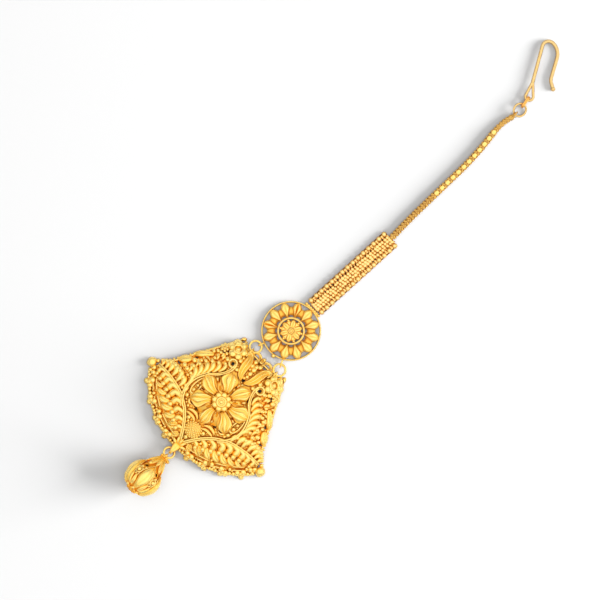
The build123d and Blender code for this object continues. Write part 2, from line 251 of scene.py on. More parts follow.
# Kit: widths along a leaf, t from its base to its tip
def almond(half, blunt=0.62):
    return lambda t: half * np.sin(pi * np.clip(t, 0.004, 0.996)) ** blunt


def eggWidth(half, blunt, out):
    # an almond whose widest place moves towards its start as out falls below 1
    return lambda t: half * np.sin(pi * np.clip(t, 0.004, 0.997) ** out) ** blunt


def dropWidth(half, head=0.3, tail=0.12):
    # a round head at the start, thinning to a tail
    def width(t):
        early = np.sqrt(np.clip(1 - (1 - np.clip(t / head, 0.02, 1)) ** 2, 0, 1))
        late = tail + (1 - tail) * (0.5 + 0.5 * np.cos(pi * np.clip((t - head) / (1 - head), 0, 1)))
        return half * np.where(t < head, early, late)

    return width


def kiteWidth(half, widest, start, end):
    # nearly straight sides from the base to the widest place, then a round end
    def width(t):
        early = np.clip(t / widest, 0.03, 1) ** start
        late = np.clip(1 - (np.clip(t - widest, 0, 1) / (1.003 - widest)) ** 2, 0, 1) ** end
        return half * np.where(t < widest, early, late)

    return width


def tulipWidth(half):
    # a narrow base opening to a broad shoulder, then a short point
    def width(t):
        return half * np.interp(t, (0, 0.2, 0.45, 0.62, 0.74, 0.88, 1), (0.4, 0.5, 0.84, 1, 0.86, 0.45, 0.04))

    return width


# Kit: reliefs, each the height and the painted shade across a leaf, s from -1 to 1
def domed(height, crease=0.0):
    # smooth and round, with a crease along the middle if wanted, painted darker towards its edges and in the
    # crease as painted shade
    def relief(t, s):
        bulge = np.sqrt(np.clip(1 - s**2, 0, 1)) * np.clip(np.sin(pi * t), 0.0, 1) ** 0.35
        cut = crease * np.exp(-((s / 0.16) ** 2)) * np.clip(np.sin(pi * t), 0, 1)
        return height * (bulge - cut) + 0 * t, np.clip(1 - bulge + 1.6 * cut, 0, 1)

    return relief


def ribbed(height, sway=0.0):
    # three long ribs that sway from side to side, with painted shade in the grooves and at the edges
    def relief(t, s):
        wave = 0.5 + 0.5 * np.cos(3 * pi * (s + sway * np.sin(6 * t + 4 * sway)))
        ends = np.clip(np.sin(pi * t), 0, 1) ** 0.4
        body = 0.45 + 0.25 * (1 - s**2) + 0.3 * wave
        return height * body * ends, np.clip((1.05 - wave) * 0.5 + 0.7 * np.abs(s) ** 9, 0, 1)

    return relief


def veined(height):
    # a raised edge, a middle rib and four pairs of veins, with painted shade between them
    def relief(t, s):
        ends = np.clip(np.sin(pi * np.clip(t, 0, 1)), 0, 1) ** 0.45
        edge = np.exp(-(((np.abs(s) - 0.86) / 0.17) ** 2))
        rib = np.exp(-((s / 0.13) ** 2))
        vein = 0.5 + 0.5 * np.cos(tau * (4 * t - 1.2 * np.abs(s)))
        body = 0.48 + 0.3 * edge + 0.38 * rib + 0.13 * vein * (1 - edge) + 0.12 * (1 - s**2)
        depth = 0.8 - 0.8 * np.clip(edge + rib + 0.55 * vein, 0, 1)
        return height * body * ends, depth

    return relief


def flatFace(height, paintedShade):
    # a flat strip, evenly painted with so much shade
    return lambda t, s: (height + 0 * s * t, paintedShade)


# Shader kit
class Value:
    # one output of a node tree, with arithmetic that adds Math nodes
    def __init__(self, tree, socket):
        self.tree = tree
        self.socket = socket

    def node(self, kind, settings, sockets, output=0):
        node = self.tree.nodes.new(kind)
        for key, setting in settings.items():
            setattr(node, key, setting)
        for key, value in sockets.items():
            if isinstance(value, Value):
                self.tree.links.new(value.socket, node.inputs[key])
            else:
                node.inputs[key].default_value = value
        return Value(self.tree, node.outputs[output])

    def math(self, operation, first, second=0.0):
        return self.node("ShaderNodeMath", {"operation": operation}, {0: first, 1: second})

    def __add__(self, other):
        return self.math("ADD", self, other)

    def __radd__(self, other):
        return self.math("ADD", other, self)

    def __sub__(self, other):
        return self.math("SUBTRACT", self, other)

    def __rsub__(self, other):
        return self.math("SUBTRACT", other, self)

    def __mul__(self, other):
        return self.math("MULTIPLY", self, other)

    def __rmul__(self, other):
        return self.math("MULTIPLY", other, self)

    def clamp(self):
        return self.node("ShaderNodeClamp", {}, {"Value": self})

    def ramp(self, low, high):
        # 0 below low, 1 above high, smooth between
        settings = {"interpolation_type": "SMOOTHSTEP"}
        sockets = {"Value": self, "From Min": low, "From Max": high}
        return self.node("ShaderNodeMapRange", settings, sockets)


def mixColour(factor, first, second):
    node = factor.tree.nodes.new("ShaderNodeMix")
    node.data_type = "RGBA"
    factor.tree.links.new(factor.socket, node.inputs[0])
    for slot, colour in ((6, first), (7, second)):
        if isinstance(colour, Value):
            factor.tree.links.new(colour.socket, node.inputs[slot])
        else:
            node.inputs[slot].default_value = (*colour, 1)
    return Value(factor.tree, node.outputs[2])


def newMaterial(name):
    # the material, its shader, and a value to build on
    material = bpy.data.materials.new(name)
    material.use_nodes = True
    tree = material.node_tree
    shader = tree.nodes["Principled BSDF"]
    return material, shader, Value(tree, None)

goldLook = {
    # crest is a lighter painted highlight for tops, body the middle tone, and the next colour a painted
    # orange shade for hollows, sides and undersides
    "crest": (1.0, 0.73, 0.22),
    "body": (1.0, 0.61, 0.11),
    "paintedShade": (0.8, 0.31, 0.014),
    "roughness": 0.22,
    "grain": 0.22,  # how far the roughness wanders
    "dull": 0.22,  # how much rougher a recess is
    "bump": 0.35,
    "bumpDepth": 0.00012,
    "cloudScale": 900.0,
    "grainScale": 5200.0,
    "hasPaintedShade": True,
}
finishes = {
    "gold": {},
    # a darker copy of the gold for the chain's woven links: painted shade all over, against the bright facets
    # in plain gold
    "chain_gold_painted_shade": {
        "crest": (0.74, 0.45, 0.12),
        "body": (0.68, 0.37, 0.08),
        "paintedShade": (0.4, 0.13, 0.01),
        "roughness": 0.28,
    },
    # a darker copy of the gold for the band's strands and beads, its body and hollows painted deeper in shade
    "band_gold_painted_shade": {
        "crest": (1.0, 0.7, 0.26),
        "body": (0.8, 0.44, 0.1),
        "paintedShade": (0.5, 0.17, 0.012),
        "roughness": 0.2,
    },
    # plain wires, whose meshes carry no painted shade, so a cloud mixes their colours as a random tone
    "wire_gold": {
        "crest": (0.78, 0.54, 0.23),
        "body": (0.72, 0.47, 0.18),
        "bump": 0.12,
        "roughness": 0.18,
        "hasPaintedShade": False,
    },
    "ring_gold": {"bump": 0.12, "hasPaintedShade": False},
    # a dark copy of the gold for the hook's coiled link, painted shade for the shade inside its turns
    "link_gold_painted_shade": {
        "crest": (0.95, 0.5, 0.13),
        "body": (0.66, 0.27, 0.045),
        "bump": 0.12,
        "hasPaintedShade": False,
    },
}


def goldMaterial(name, look):
    # a painted highlight on the crests and a duller painted orange shade in the recesses, on the sides and on
    # the undersides, with the fine grain of cast and drawn metal; on meshes with no painted shade a cloud
    # mixes the colours as a random tone
    material, shader, start = newMaterial(name)
    place = start.node("ShaderNodeTexCoord", {}, {}, "Object")
    sockets = {"Vector": place, "Scale": look["cloudScale"], "Detail": 3.0}
    cloud = start.node("ShaderNodeTexNoise", {}, sockets)
    sockets = {"Vector": place, "Scale": look["grainScale"], "Detail": 2.0}
    grain = start.node("ShaderNodeTexNoise", {}, sockets)
    if look["hasPaintedShade"]:
        # each point's painted shade, carried by its mesh
        depth = start.node("ShaderNodeAttribute", {"attribute_name": "paintedShade"}, {}, "Fac")
    else:
        depth = cloud * 0.35
    # the painted highlight gives way to the body colour and then to the painted shade colour, each edge
    # broken a little by the cloud
    offCrest = (depth + (cloud - 0.5) * 0.5).ramp(0.0, 0.55)
    inPaintedShade = (depth + (cloud - 0.5) * 0.3).ramp(0.45, 1.05)
    colour = mixColour(inPaintedShade, mixColour(offCrest, look["crest"], look["body"]), look["paintedShade"])
    rough = look["roughness"] + depth * look["dull"] + (grain - 0.5) * look["grain"]
    height = cloud * 0.6 + grain * 0.4
    sockets = {"Height": height, "Strength": look["bump"], "Distance": look["bumpDepth"]}
    relief = start.node("ShaderNodeBump", {}, sockets)
    links = material.node_tree.links
    links.new(colour.socket, shader.inputs["Base Color"])
    links.new(rough.clamp().socket, shader.inputs["Roughness"])
    links.new(relief.socket, shader.inputs["Normal"])
    shader.inputs["Metallic"].default_value = 1.0
    return material


golds = {name: goldMaterial(name, {**goldLook, **change}) for name, change in finishes.items()}
print("materials", len(golds))


def makePiece(shape, name, node, finish="gold", place=None):
    # turns a shape into an object, with place laying its points where they belong
    points = np.vstack(shape.points)
    if place:
        points = place(points)
    mesh = bpy.data.meshes.new(name)
    mesh.from_pydata((points * mm).tolist(), [], shape.faces)
    # each point's painted shade goes with the mesh, for the gold materials to read
    depth = mesh.attributes.new("paintedShade", "FLOAT", "POINT")
    depth.data.foreach_set("value", np.concatenate(shape.paintedShade).astype(np.float32))
    mesh.validate()
    mesh.shade_smooth()
    mesh.materials.append(golds[finish])
    piece = bpy.data.objects.new(name, mesh)
    bpy.context.collection.objects.link(piece)
    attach(piece, "root")
    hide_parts(node)
    print(name, sum(len(f) - 2 for f in shape.faces), "triangles")


def boxMiddle(node):
    # the middle of a CAD node's box
    low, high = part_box(node)
    return [(low[k] + high[k]) / 2 / mm for k in range(3)]


# Pendant: a domed fan, flower centre at the origin of its own plan
fan = {
    "top": 12.3,
    "topHalf": 6.9,
    "sideHalf": 16.4,
    "sideY": -4.2,
    "hem": 21.2,
    "hemCentre": 6.6,
    "hemHalf": 16.7,
    "rim": 0.5,
    "edgeSlope": 1.05,
    "blend": 1.6,  # how softly the dome turns into its sloping edge
    "apex": 4.9,
    "curve": 40.0,
    "sink": 0.85,
    "lean": 0.6,  # how far raised ornament leans with the slope under it
    "press": 0.3,  # ornament lower than this is pressed flatter, down to the floor gap
    "floorGap": 0.02,
    "sheet": 0.35,
    "flowerBelowEyes": 13.62,
}
fanPlace = np.array([boxMiddle("pendant")[0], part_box("pendant")[1][1] / mm - fan["flowerBelowEyes"], 0])
flank = np.array([fan["top"] - fan["sideY"], fan["sideHalf"] - fan["topHalf"]])
flank /= np.linalg.norm(flank)
flankReach = flank @ (fan["topHalf"], fan["top"])


def fanInset(x, y):
    # how far inside the fan's outline a point lies
    beside = flankReach - flank[0] * np.abs(x) - flank[1] * y
    return np.minimum.reduce([fan["top"] - y, beside, fan["hem"] - np.hypot(x, y - fan["hemCentre"])])


def fanHeight(x, y):
    # the sheet's height: a round dome whose edges fall to the rim
    edge = fan["rim"] + fan["edgeSlope"] * np.maximum(fanInset(x, y), -0.6)
    top = fan["apex"] - fan["sink"] - fan["curve"] + np.sqrt(fan["curve"] ** 2 - x**2 - y**2)
    blend = fan["blend"]
    share = np.clip(0.5 + 0.5 * (edge - top) / blend, 0, 1)
    return edge * (1 - share) + top * share - blend * share * (1 - share)


def onFan(points):
    # lays points drawn flat, with their height above the sheet, onto the dome
    x, y, h = points.T
    step = 0.05
    slopeX = (fanHeight(x + step, y) - fanHeight(x - step, y)) / (2 * step)
    slopeY = (fanHeight(x, y + step) - fanHeight(x, y - step)) / (2 * step)
    lean = np.stack([-fan["lean"] * slopeX, -fan["lean"] * slopeY, np.ones_like(x)], -1)
    lean /= np.linalg.norm(lean, axis=1)[:, None]
    ground = np.stack([x, y, fanHeight(x, y)], -1)
    laid = fanPlace + ground + lean * h[:, None]
    # what would sink below the rim is pressed together just above the surface that it lies on
    low = laid[:, 2] < fan["press"]
    room = fan["press"] - fan["floorGap"]
    laid[low, 2] = fan["floorGap"] + room * np.exp((laid[low, 2] - fan["press"]) / room)
    return laid


def fanOutline(grow, step):
    # the fan's edge as a closed run of points, grown outwards by grow
    hemY = fan["hemCentre"] - sqrt(fan["hem"] ** 2 - fan["hemHalf"] ** 2)
    swing = degrees(asin(fan["hemHalf"] / fan["hem"]))
    corners = [(fan["topHalf"], fan["top"]), (-fan["topHalf"], fan["top"])]
    corners.append((-fan["hemHalf"], hemY))
    hem = arc(0, fan["hemCentre"], fan["hem"], -90 - swing, -90 + swing, count=60)[:, :2]
    line = np.vstack([corners, hem, corners[:1]])
    length = runAlong(line)[-1]
    edge = pointsAt(line, np.linspace(0, length, int(length / step))[:-1])
    out = np.roll(edge, -1, 0) - np.roll(edge, 1, 0)
    out = np.stack([out[:, 1], -out[:, 0]], -1)
    out /= np.linalg.norm(out, axis=1)[:, None]
    return edge + out * grow


piercings = (
    # x, y, long, wide, turn: gaps through the sheet, each with its mirror image
    (4.3, 7.75, 0.4, 0.4, 0),
    (4.0, 4.7, 0.9, 0.36, -58),
    (2.6, -4.85, 0.75, 0.38, -20),
    (13.15, -0.45, 0.6, 0.45, 40),
    (12.95, -4.75, 0.6, 0.4, -30),
    (15.1, -4.85, 0.6, 0.4, 60),
    (1.6, 11.95, 0.6, 0.3, 0),
    (7.75, 8.2, 0.4, 0.4, 0),
    (11.1, 2.9, 0.45, 0.35, -60),
    (6.9, 8.9, 0.3, 0.3, 0),
)
middlePiercing = (0.05, 6.75, 0.42, 0.42, 0)
gaps = [(side * x, y, a, b, side * turn) for x, y, a, b, turn in piercings for side in (1, -1)]
gaps.append(middlePiercing)


def inGap(x, y, grow):
    # whether a point lies in a piercing that is grown by a factor
    for gx, gy, a, b, turn in gaps:
        c, s = cos(radians(turn)), sin(radians(turn))
        if hypot((c * (x - gx) + s * (y - gy)) / a, (c * (y - gy) - s * (x - gx)) / b) < grow:
            return True
    return False


def sheetShape(outline, holes, inside, spacing, thick, paintedShade):
    # a flat pierced sheet with a net of points between its edges, and its thickness
    loops = [outline] + holes
    xs = np.arange(outline[:, 0].min(), outline[:, 0].max(), spacing)
    ys = np.arange(outline[:, 1].min(), outline[:, 1].max(), spacing)
    net = [(x, y) for x in xs for y in ys if inside(x, y, 1.3)]
    points = [Vector(p) for loop in loops for p in loop] + [Vector(p) for p in net]
    edges = []
    start = 0
    for loop in loops:
        count = len(loop)
        edges += [(start + k, start + (k + 1) % count) for k in range(count)]
        start += count
    found, _, faces, _, _, _ = delaunay_2d_cdt(points, edges, [], 0, 1e-5)
    flat = np.array([tuple(p) for p in found])
    kept = [tuple(f) for f in faces if inside(*flat[list(f)].mean(0), 1.0)]
    count = len(flat)
    shape = Shape()
    above = np.c_[flat, np.zeros(count)]
    below = np.c_[flat, np.full(count, -thick)]
    shape.add(np.vstack([above, below]), np.zeros((0, 3), int), paintedShade)
    shape.faces += [list(f) for f in kept]
    shape.faces += [[k + count for k in reversed(f)] for f in kept]
    sides = {(a, b) for f in kept for a, b in zip(f, f[1:] + f[:1])}
    shape.faces += [[b, a, a + count, b + count] for a, b in sides if (b, a) not in sides]
    return shape


def pendantSheet():
    around = np.linspace(0, tau, 18, endpoint=False)
    holes = []
    for x, y, a, b, turn in gaps:
        c, s = cos(radians(turn)), sin(radians(turn))
        u, v = a * np.cos(around), b * np.sin(around)
        holes.append(np.stack([x + c * u - s * v, y + s * u + c * v], -1))

    def inside(x, y, margin):
        return fanInset(x, y) > (0.35 if margin > 1 else -0.02) and not inGap(x, y, margin)

    # the sheet under the ornament is painted well into shade
    return sheetShape(fanOutline(0, 0.6), holes, inside, spacing=0.7, thick=fan["sheet"], paintedShade=0.68)


def sideCurve(side, knots, h, step):
    # a smooth line through x, y knots, drawn for the right and mirrored for side -1
    return smoothCurve([(side * x, y, h) for x, y in knots], step=step)


def twinWires(wires, line, pair, sides=8):
    # wires that run together, each so far to the left of the line
    for shift, wire in pair:
        wires.tube(line + frames(line)[1] * shift, wire, sides=sides)


def curledLeaf(shape, head, foot, bow, half, height=0.95, lift=0.0, tail=0.34):
    # a leaflet with a round head, bowed to one side, thinning to its foot
    head, foot = np.array(head, float), np.array(foot, float)
    run = foot - head
    middle = head + 0.45 * run + bow * np.array([-run[1], run[0]])
    path = smoothCurve([head, middle, foot], step=0.17)
    path[:, 2] = lift
    shape.leaf(path, dropWidth(half, head=0.26, tail=tail), domed(height), columns=9)


def flowerHead(shape, side, head):
    # round lobes about a wire cup with a granule in it
    x, y, cup, lobe = side * head["x"], head["y"], head["cup"], head["lobe"]
    reach = head["radius"] - lobe
    for k in range(6):
        angle = head["turn"] + tau * k / 6
        shape.ball(x + reach * cos(angle), y + reach * sin(angle), head["lift"], lobe, flat=0.8, segments=14)
    shape.ball(x, y, head["lift"], cup, flat=0.55, segments=16)
    shape.ring(x, y, head["lift"] + lobe * 0.62, cup, wire=head["wire"], segments=24)
    shape.ball(x, y, head["lift"] + lobe * 0.4, cup * 0.52, flat=0.8)


# small flowers at the top corner and on the side edge
cornerFlower = dict(x=5.6, y=10.6, lift=0.65, radius=2.25, lobe=0.86, turn=0.3, cup=0.84, wire=0.2)
edgeFlower = dict(x=8.0, y=8.9, lift=0.5, radius=1.05, lobe=0.36, turn=0.2, cup=0.36, wire=0.15)
cornerCurl = ((6.0, 13.8), (6.6, 13.1), (7.0, 12.2))
lyre = ((3.65, 11.0), (3.1, 11.55), (2.45, 11.1), (2.05, 9.9), (1.8, 8.5), (1.25, 7.2), (0.3, 6.3))
lyreTip = ((2.3, 11.7), (3.0, 11.95), (3.55, 11.6), (3.4, 10.9))


def topCorner(shape, side):
    # corner flower with a curl and a granule outside it, and the ribbed lyre leaf, curled outwards
    flowerHead(shape, side, cornerFlower)
    shape.leaf(sideCurve(side, cornerCurl, h=0, step=0.15), dropWidth(0.45), domed(0.7))
    shape.ball(side * 5.6, 13.05, 0.4, 0.42)
    shape.leaf(sideCurve(side, lyre, h=0.15, step=0.16), almond(1.12, blunt=0.6), ribbed(1.3), columns=23)
    shape.tube(sideCurve(side, lyreTip, h=0.8, step=0.16), 0.24)


topArch = dict(x=1.65, y=11.95, h=0.75, wires=((1.5, 0.24), (0.95, 0.22)))  # wires: bend, thickness
wireLoop = dict(x=4.3, y=7.75, h=0.85, bend=0.88, wire=0.22)
scrollSeeds = ((6.25, -2.45, 0.6, 0.55), (6.3, -1.2, 0.5, 0.48))  # x, y, height, radius
loopStem = ((3.35, 7.9), (3.3, 6.6), (3.7, 5.3), (4.5, 4.0), (5.5, 2.9), (6.4, 2.2))
embrace = ((6.3, 2.3), (7.1, 0.9), (7.65, -0.6), (7.8, -2.2), (7.45, -3.9), (6.6, -5.5), (5.5, -6.75))
scroll = (
    (6.6, 0.9),
    (7.0, -0.5),
    (7.05, -1.9),
    (6.75, -3.0),
    (6.1, -3.35),
    (5.55, -2.8),
    (5.5, -1.8),
    (5.7, -0.6),
)
brow = (
    # x, y, how far this knot follows the lower leaf of the pair
    (0.75, -6.75, 1.0),
    (1.8, -5.95, 1.0),
    (3.1, -5.85, 1.0),
    (4.4, -6.5, 0.55),
)


def flowerWires(shape, wires, side):
    # double arch on the top edge, then a wire loop and its long stem
    for bend, wire in topArch["wires"]:
        knots = arc(side * topArch["x"], topArch["y"], bend, 0, 180, topArch["h"])
        wires.tube(smoothCurve(knots, step=0.18), wire)
    knots = arc(side * wireLoop["x"], wireLoop["y"], wireLoop["bend"], -150, 190, wireLoop["h"])
    wires.tube(smoothCurve(knots, step=0.16), wireLoop["wire"])
    for shift, wire in ((0.0, 0.2), (0.42, 0.14)):
        wires.tube(smoothCurve([(side * x + side * shift, y, 0.9) for x, y in loopStem], step=0.18), wire)
    # wires that embrace the flower
    twinWires(wires, sideCurve(side, embrace, h=0.95, step=0.2), ((0.0, 0.21), (side * 0.42, 0.15)))
    # scroll with two seeds beside the flower, and a curl under it
    wires.tube(sideCurve(side, scroll, h=0.8, step=0.18), 0.19)
    for x, y, h, radius in scrollSeeds:
        shape.ball(side * x, y, h, radius)
    curledLeaf(shape, (side * 5.7, -4.3), (side * 3.6, -4.95), 0.28 * side, 0.52)
    # curled pair under the flower
    for drop, half in ((0.0, 0.5), (1.0, 0.44)):
        line = sideCurve(side, [(x, y - drop * follow) for x, y, follow in brow], h=0.1, step=0.16)
        shape.leaf(line, almond(half, blunt=0.5), domed(0.9, crease=0.35), columns=9)
    shape.ball(side * 2.45, -9.0, 0.35, 0.36)


mainStem = (
    (0.35, -12.6),
    (1.85, -10.2),
    (3.2, -8.45),
    (4.7, -6.95),
    (6.3, -5.9),
    (8.3, -4.95),
    (10.8, -4.4),
    (13.0, -4.15),
    (15.6, -4.3),
)
# how high and how bluntly each frond's leaves stand, and the knob on each leaf's head
upperStyle = dict(height=1.05, lift=0.1, tail=0.5, knob=0.6, knobX=-0.1, knobY=-0.5, knobLift=0.72)
innerStyle = dict(height=1.1, lift=0.1, tail=0.5, knob=0.58, knobX=0.0, knobY=-0.5, knobLift=0.75)
lowerStyle = dict(height=1.0, lift=0.05, tail=0.62, knob=0.68, knobX=0.0, knobY=0.2, knobLift=0.75)
upperFrond = (
    # x on the stem, lean, reach, half width
    (7.7, 78, 2.6, 0.78),
    (9.1, 73, 3.1, 0.86),
    (10.45, 70, 3.4, 0.88),
    (11.75, 68, 3.3, 0.86),
    (13.0, 67, 2.9, 0.8),
    (14.15, 66, 2.4, 0.7),
    (15.1, 66, 1.8, 0.6),
)
innerFrond = (
    # foot x, y, head x, y, bow, half width: from the wire outwards and up
    (8.05, -3.6, 9.35, 0.1, -0.16, 0.74),
    (8.2, -2.0, 10.0, 1.6, -0.16, 0.74),
    (8.0, -0.6, 9.4, 2.9, -0.16, 0.74),
    (7.5, 0.6, 8.8, 4.3, -0.16, 0.76),
    (6.9, 1.7, 7.8, 5.3, -0.16, 0.76),
    (6.1, 2.8, 6.6, 6.1, -0.16, 0.74),
    (5.3, 3.9, 5.45, 7.0, -0.16, 0.66),
    (8.0, 4.5, 9.6, 4.4, -0.1, 0.4),
)
lowerFrond = (
    # x on the stem, head x, y, bow, half width: each arches away from the stem and turns down
    (1.7, 3.1, -11.6, 0.32, 0.74),
    (2.7, 4.6, -10.7, 0.34, 0.82),
    (3.9, 6.1, -9.7, 0.36, 0.88),
    (5.2, 7.7, -8.7, 0.38, 0.9),
    (6.7, 9.2, -7.8, 0.38, 0.9),
    (8.3, 10.6, -7.1, 0.4, 0.88),
    (9.9, 12.0, -6.7, 0.4, 0.84),
    (11.5, 13.3, -6.4, 0.4, 0.76),
    (13.1, 14.6, -6.1, 0.4, 0.62),
)


def frondLeaf(shape, side, head, foot, bow, half, style):
    # a curled leaf and the round knob on its head
    curledLeaf(shape, head, foot, bow * side, half, style["height"], style["lift"], style["tail"])
    x, y = head[0] + side * style["knobX"], head[1] + style["knobY"]
    shape.ball(x, y, style["knobLift"], half * style["knob"], flat=0.9, segments=14)


def fronds(shape, wires, side):
    # leaves above the stem, out from the wires round the flower, and below the stem
    stem = sideCurve(side, mainStem, h=0.75, step=0.25)
    twinWires(wires, stem, ((0.2, 0.2), (-0.2, 0.2)))

    def onStem(x):
        return stem[np.argmin(np.abs(np.abs(stem[:, 0]) - x)), :2]

    for x, lean, reach, half in upperFrond:
        foot = onStem(x)
        head = (foot[0] + side * reach * cos(radians(lean)), foot[1] + reach * sin(radians(lean)))
        frondLeaf(shape, side, head, foot, -0.18, half, upperStyle)
    for footX, footY, x, y, bow, half in innerFrond:
        frondLeaf(shape, side, (side * x, y), (side * footX, footY), bow, half, innerStyle)
    for stemX, x, y, bow, half in lowerFrond:
        frondLeaf(shape, side, (side * x, y), onStem(stemX), -bow, half, lowerStyle)


hemLeaves = (
    # turn from straight down, depth inside the hem, length, half width, whether it is veined or smooth
    (5.6, 3.0, 2.0, 0.66, True),
    (11.0, 3.9, 2.6, 0.84, True),
    (16.8, 4.4, 3.0, 0.92, False),
    (22.8, 4.5, 3.1, 0.94, False),
    (28.8, 4.4, 3.0, 0.9, False),
    (34.6, 4.1, 2.7, 0.8, False),
    (40.2, 3.6, 2.2, 0.66, False),
)
trefoil = {
    "turns": (9.7, 20.3, 32.8, 44.0),
    "lobes": ((0.72, 0.7, 0.72), (0.66, 2.6, 0.76), (0.74, 4.6, 0.7)),  # radius, turn, reach
    "granules": ((-4.4, 0.46), (-6.6, 0.4), (4.3, 0.46)),  # degrees from the trefoil, radius
}


def onHem(angle, depth):
    # a place so far inside the hem
    reach = fan["hem"] - depth
    return reach * cos(angle), fan["hemCentre"] + reach * sin(angle)


def hemOrnament(shape, wires, side):
    # leaves over the hem, each pointing down and outwards
    for turn, depth, length, half, isVeined in hemLeaves:
        angle = radians(-90 + side * turn)
        x, y = onHem(angle, depth)
        lean = radians(degrees(angle) + side * 42)
        tip = (x + length * cos(lean), y + length * sin(lean))
        bend = side * 0.35
        middle = ((x + tip[0]) / 2 + bend * sin(lean), (y + tip[1]) / 2 - bend * cos(lean))
        relief = veined(1.05) if isVeined else domed(0.95, crease=0.3)
        shape.leaf(smoothCurve([(x, y), middle, tip], step=0.17), almond(half, blunt=0.5), relief, columns=13)
    # trefoils with a ringed seed, a smooth groove behind each and granules between them
    for k, turn in enumerate(trefoil["turns"]):
        angle = radians(-90 + side * turn)
        x, y = onHem(angle, 0.3)
        for lobe, swing, reach in trefoil["lobes"]:
            lobeX, lobeY = x + reach * cos(swing + k), y + reach * sin(swing + k)
            shape.ball(lobeX, lobeY, 0.45, lobe, flat=0.85, segments=14)
        shape.ring(x, y, 1.0, 0.34, wire=0.15, segments=14, sides=6)
        shape.ball(x, y, 0.7, 0.5, flat=0.8)
        ends = (-90 + side * (turn - 5.0), -90 + side * (turn + 1.6))
        groove = smoothCurve(arc(0, fan["hemCentre"], fan["hem"] - 1.5, *ends, 0.55), step=0.2)
        twinWires(wires, groove, ((-0.38, 0.15), (0.38, 0.15)), sides=6)
        wires.cover(groove, 0.5)
        for beside, radius in trefoil["granules"]:
            shape.ball(*onHem(angle + side * radians(beside), 0.2), 0.35, radius)


barLeaf = ((8.6, 6.3), (10.3, 4.65), (11.9, 3.0))
roundLeaf = ((11.3, 2.1), (12.4, 0.9), (13.6, -0.5))
cornerBead = {"x": 17.2, "y": -4.95, "lift": 0.95, "radius": 1.1}
cornerSeeds = ((16.05, -5.5, 0.6), (16.5, -3.9, 0.5), (16.3, -6.45, 0.5), (15.5, -3.3, 0.4))  # x, y, radius
sideLeaflets = (
    # head x, y, foot x, y, bow, half width
    (10.9, 1.3, 10.0, -1.1, -0.2, 0.6),
    (12.2, -1.1, 11.2, -2.6, -0.2, 0.5),
    (14.4, -1.4, 13.3, -2.6, -0.2, 0.5),
    (14.7, -2.9, 15.7, -3.6, 0.2, 0.42),
    (10.6, 3.0, 9.6, 0.9, -0.2, 0.55),
    (8.3, 6.9, 7.3, 5.5, -0.2, 0.55),
    (6.4, 7.9, 6.3, 6.4, 0.2, 0.55),
    (7.4, 8.0, 7.2, 6.7, -0.2, 0.5),
    (4.9, 0.9, 5.9, -0.3, 0.3, 0.5),
    (4.35, -3.3, 5.4, -4.3, 0.3, 0.42),
    (5.05, 2.55, 6.0, 1.5, 0.2, 0.4),
)


def sideEdge(shape, side):
    # bar leaf, round leaf, small flower, and the bead at the corner with its seeds
    line = sideCurve(side, barLeaf, h=0, step=0.16)
    width = kiteWidth(0.82, widest=0.5, start=0.25, end=0.3)
    shape.leaf(line, width, domed(0.95, crease=0.3), columns=13)
    line = sideCurve(side, roundLeaf, h=0, step=0.16)
    shape.leaf(line, almond(0.98, blunt=0.5), domed(1.0, crease=0.2), columns=13)
    flowerHead(shape, side, edgeFlower)
    bead = cornerBead
    shape.ball(side * bead["x"], bead["y"], bead["lift"], bead["radius"], segments=24)
    for x, y, radius in cornerSeeds:
        shape.ball(side * x, y, 0.45, radius)
    for x, y, footX, footY, bow, half in sideLeaflets:
        curledLeaf(shape, (side * x, y), (side * footX, footY), bow * side, half, 1.0)
    # granules down the edge
    for share in np.linspace(0.05, 0.95, 19):
        x = fan["topHalf"] + (fan["sideHalf"] - fan["topHalf"]) * share
        y = fan["top"] + (fan["sideY"] - fan["top"]) * share
        shape.ball(side * (x - 0.25), y - 0.15, 0.3, 0.3, segments=10)


# Flower: seven broad ribbed petals over a plate, a collar of scallops, a wire cup and its bright seed
flower = {
    "root": 2.0,
    "petalHeight": 1.2,
    "plate": ((5.7, 0.1), (5.6, 0.3), (1.0, 0.3)),  # radius and height of each edge
    "scallops": 8,
    "scallopReach": 1.56,
    "scallop": 0.68,
    "cup": 0.94,
    "seed": 0.5,
}
flowerPetals = (
    # tip from the middle, half width, bow, sway of the ribs: anticlockwise from the lowest petal
    (6.6, 1.6, -0.35, 0.12),
    (7.2, 1.8, 0.35, -0.2),
    (7.1, 2.0, -0.35, 0.16),
    (6.9, 1.8, 0.35, -0.1),
    (6.9, 2.0, -0.35, 0.2),
    (7.1, 1.8, 0.35, -0.15),
    (7.1, 2.0, -0.35, 0.22),
)


def polar(turn, reach, h):
    # a place round the middle, by angle and distance
    return reach * cos(turn), reach * sin(turn), h


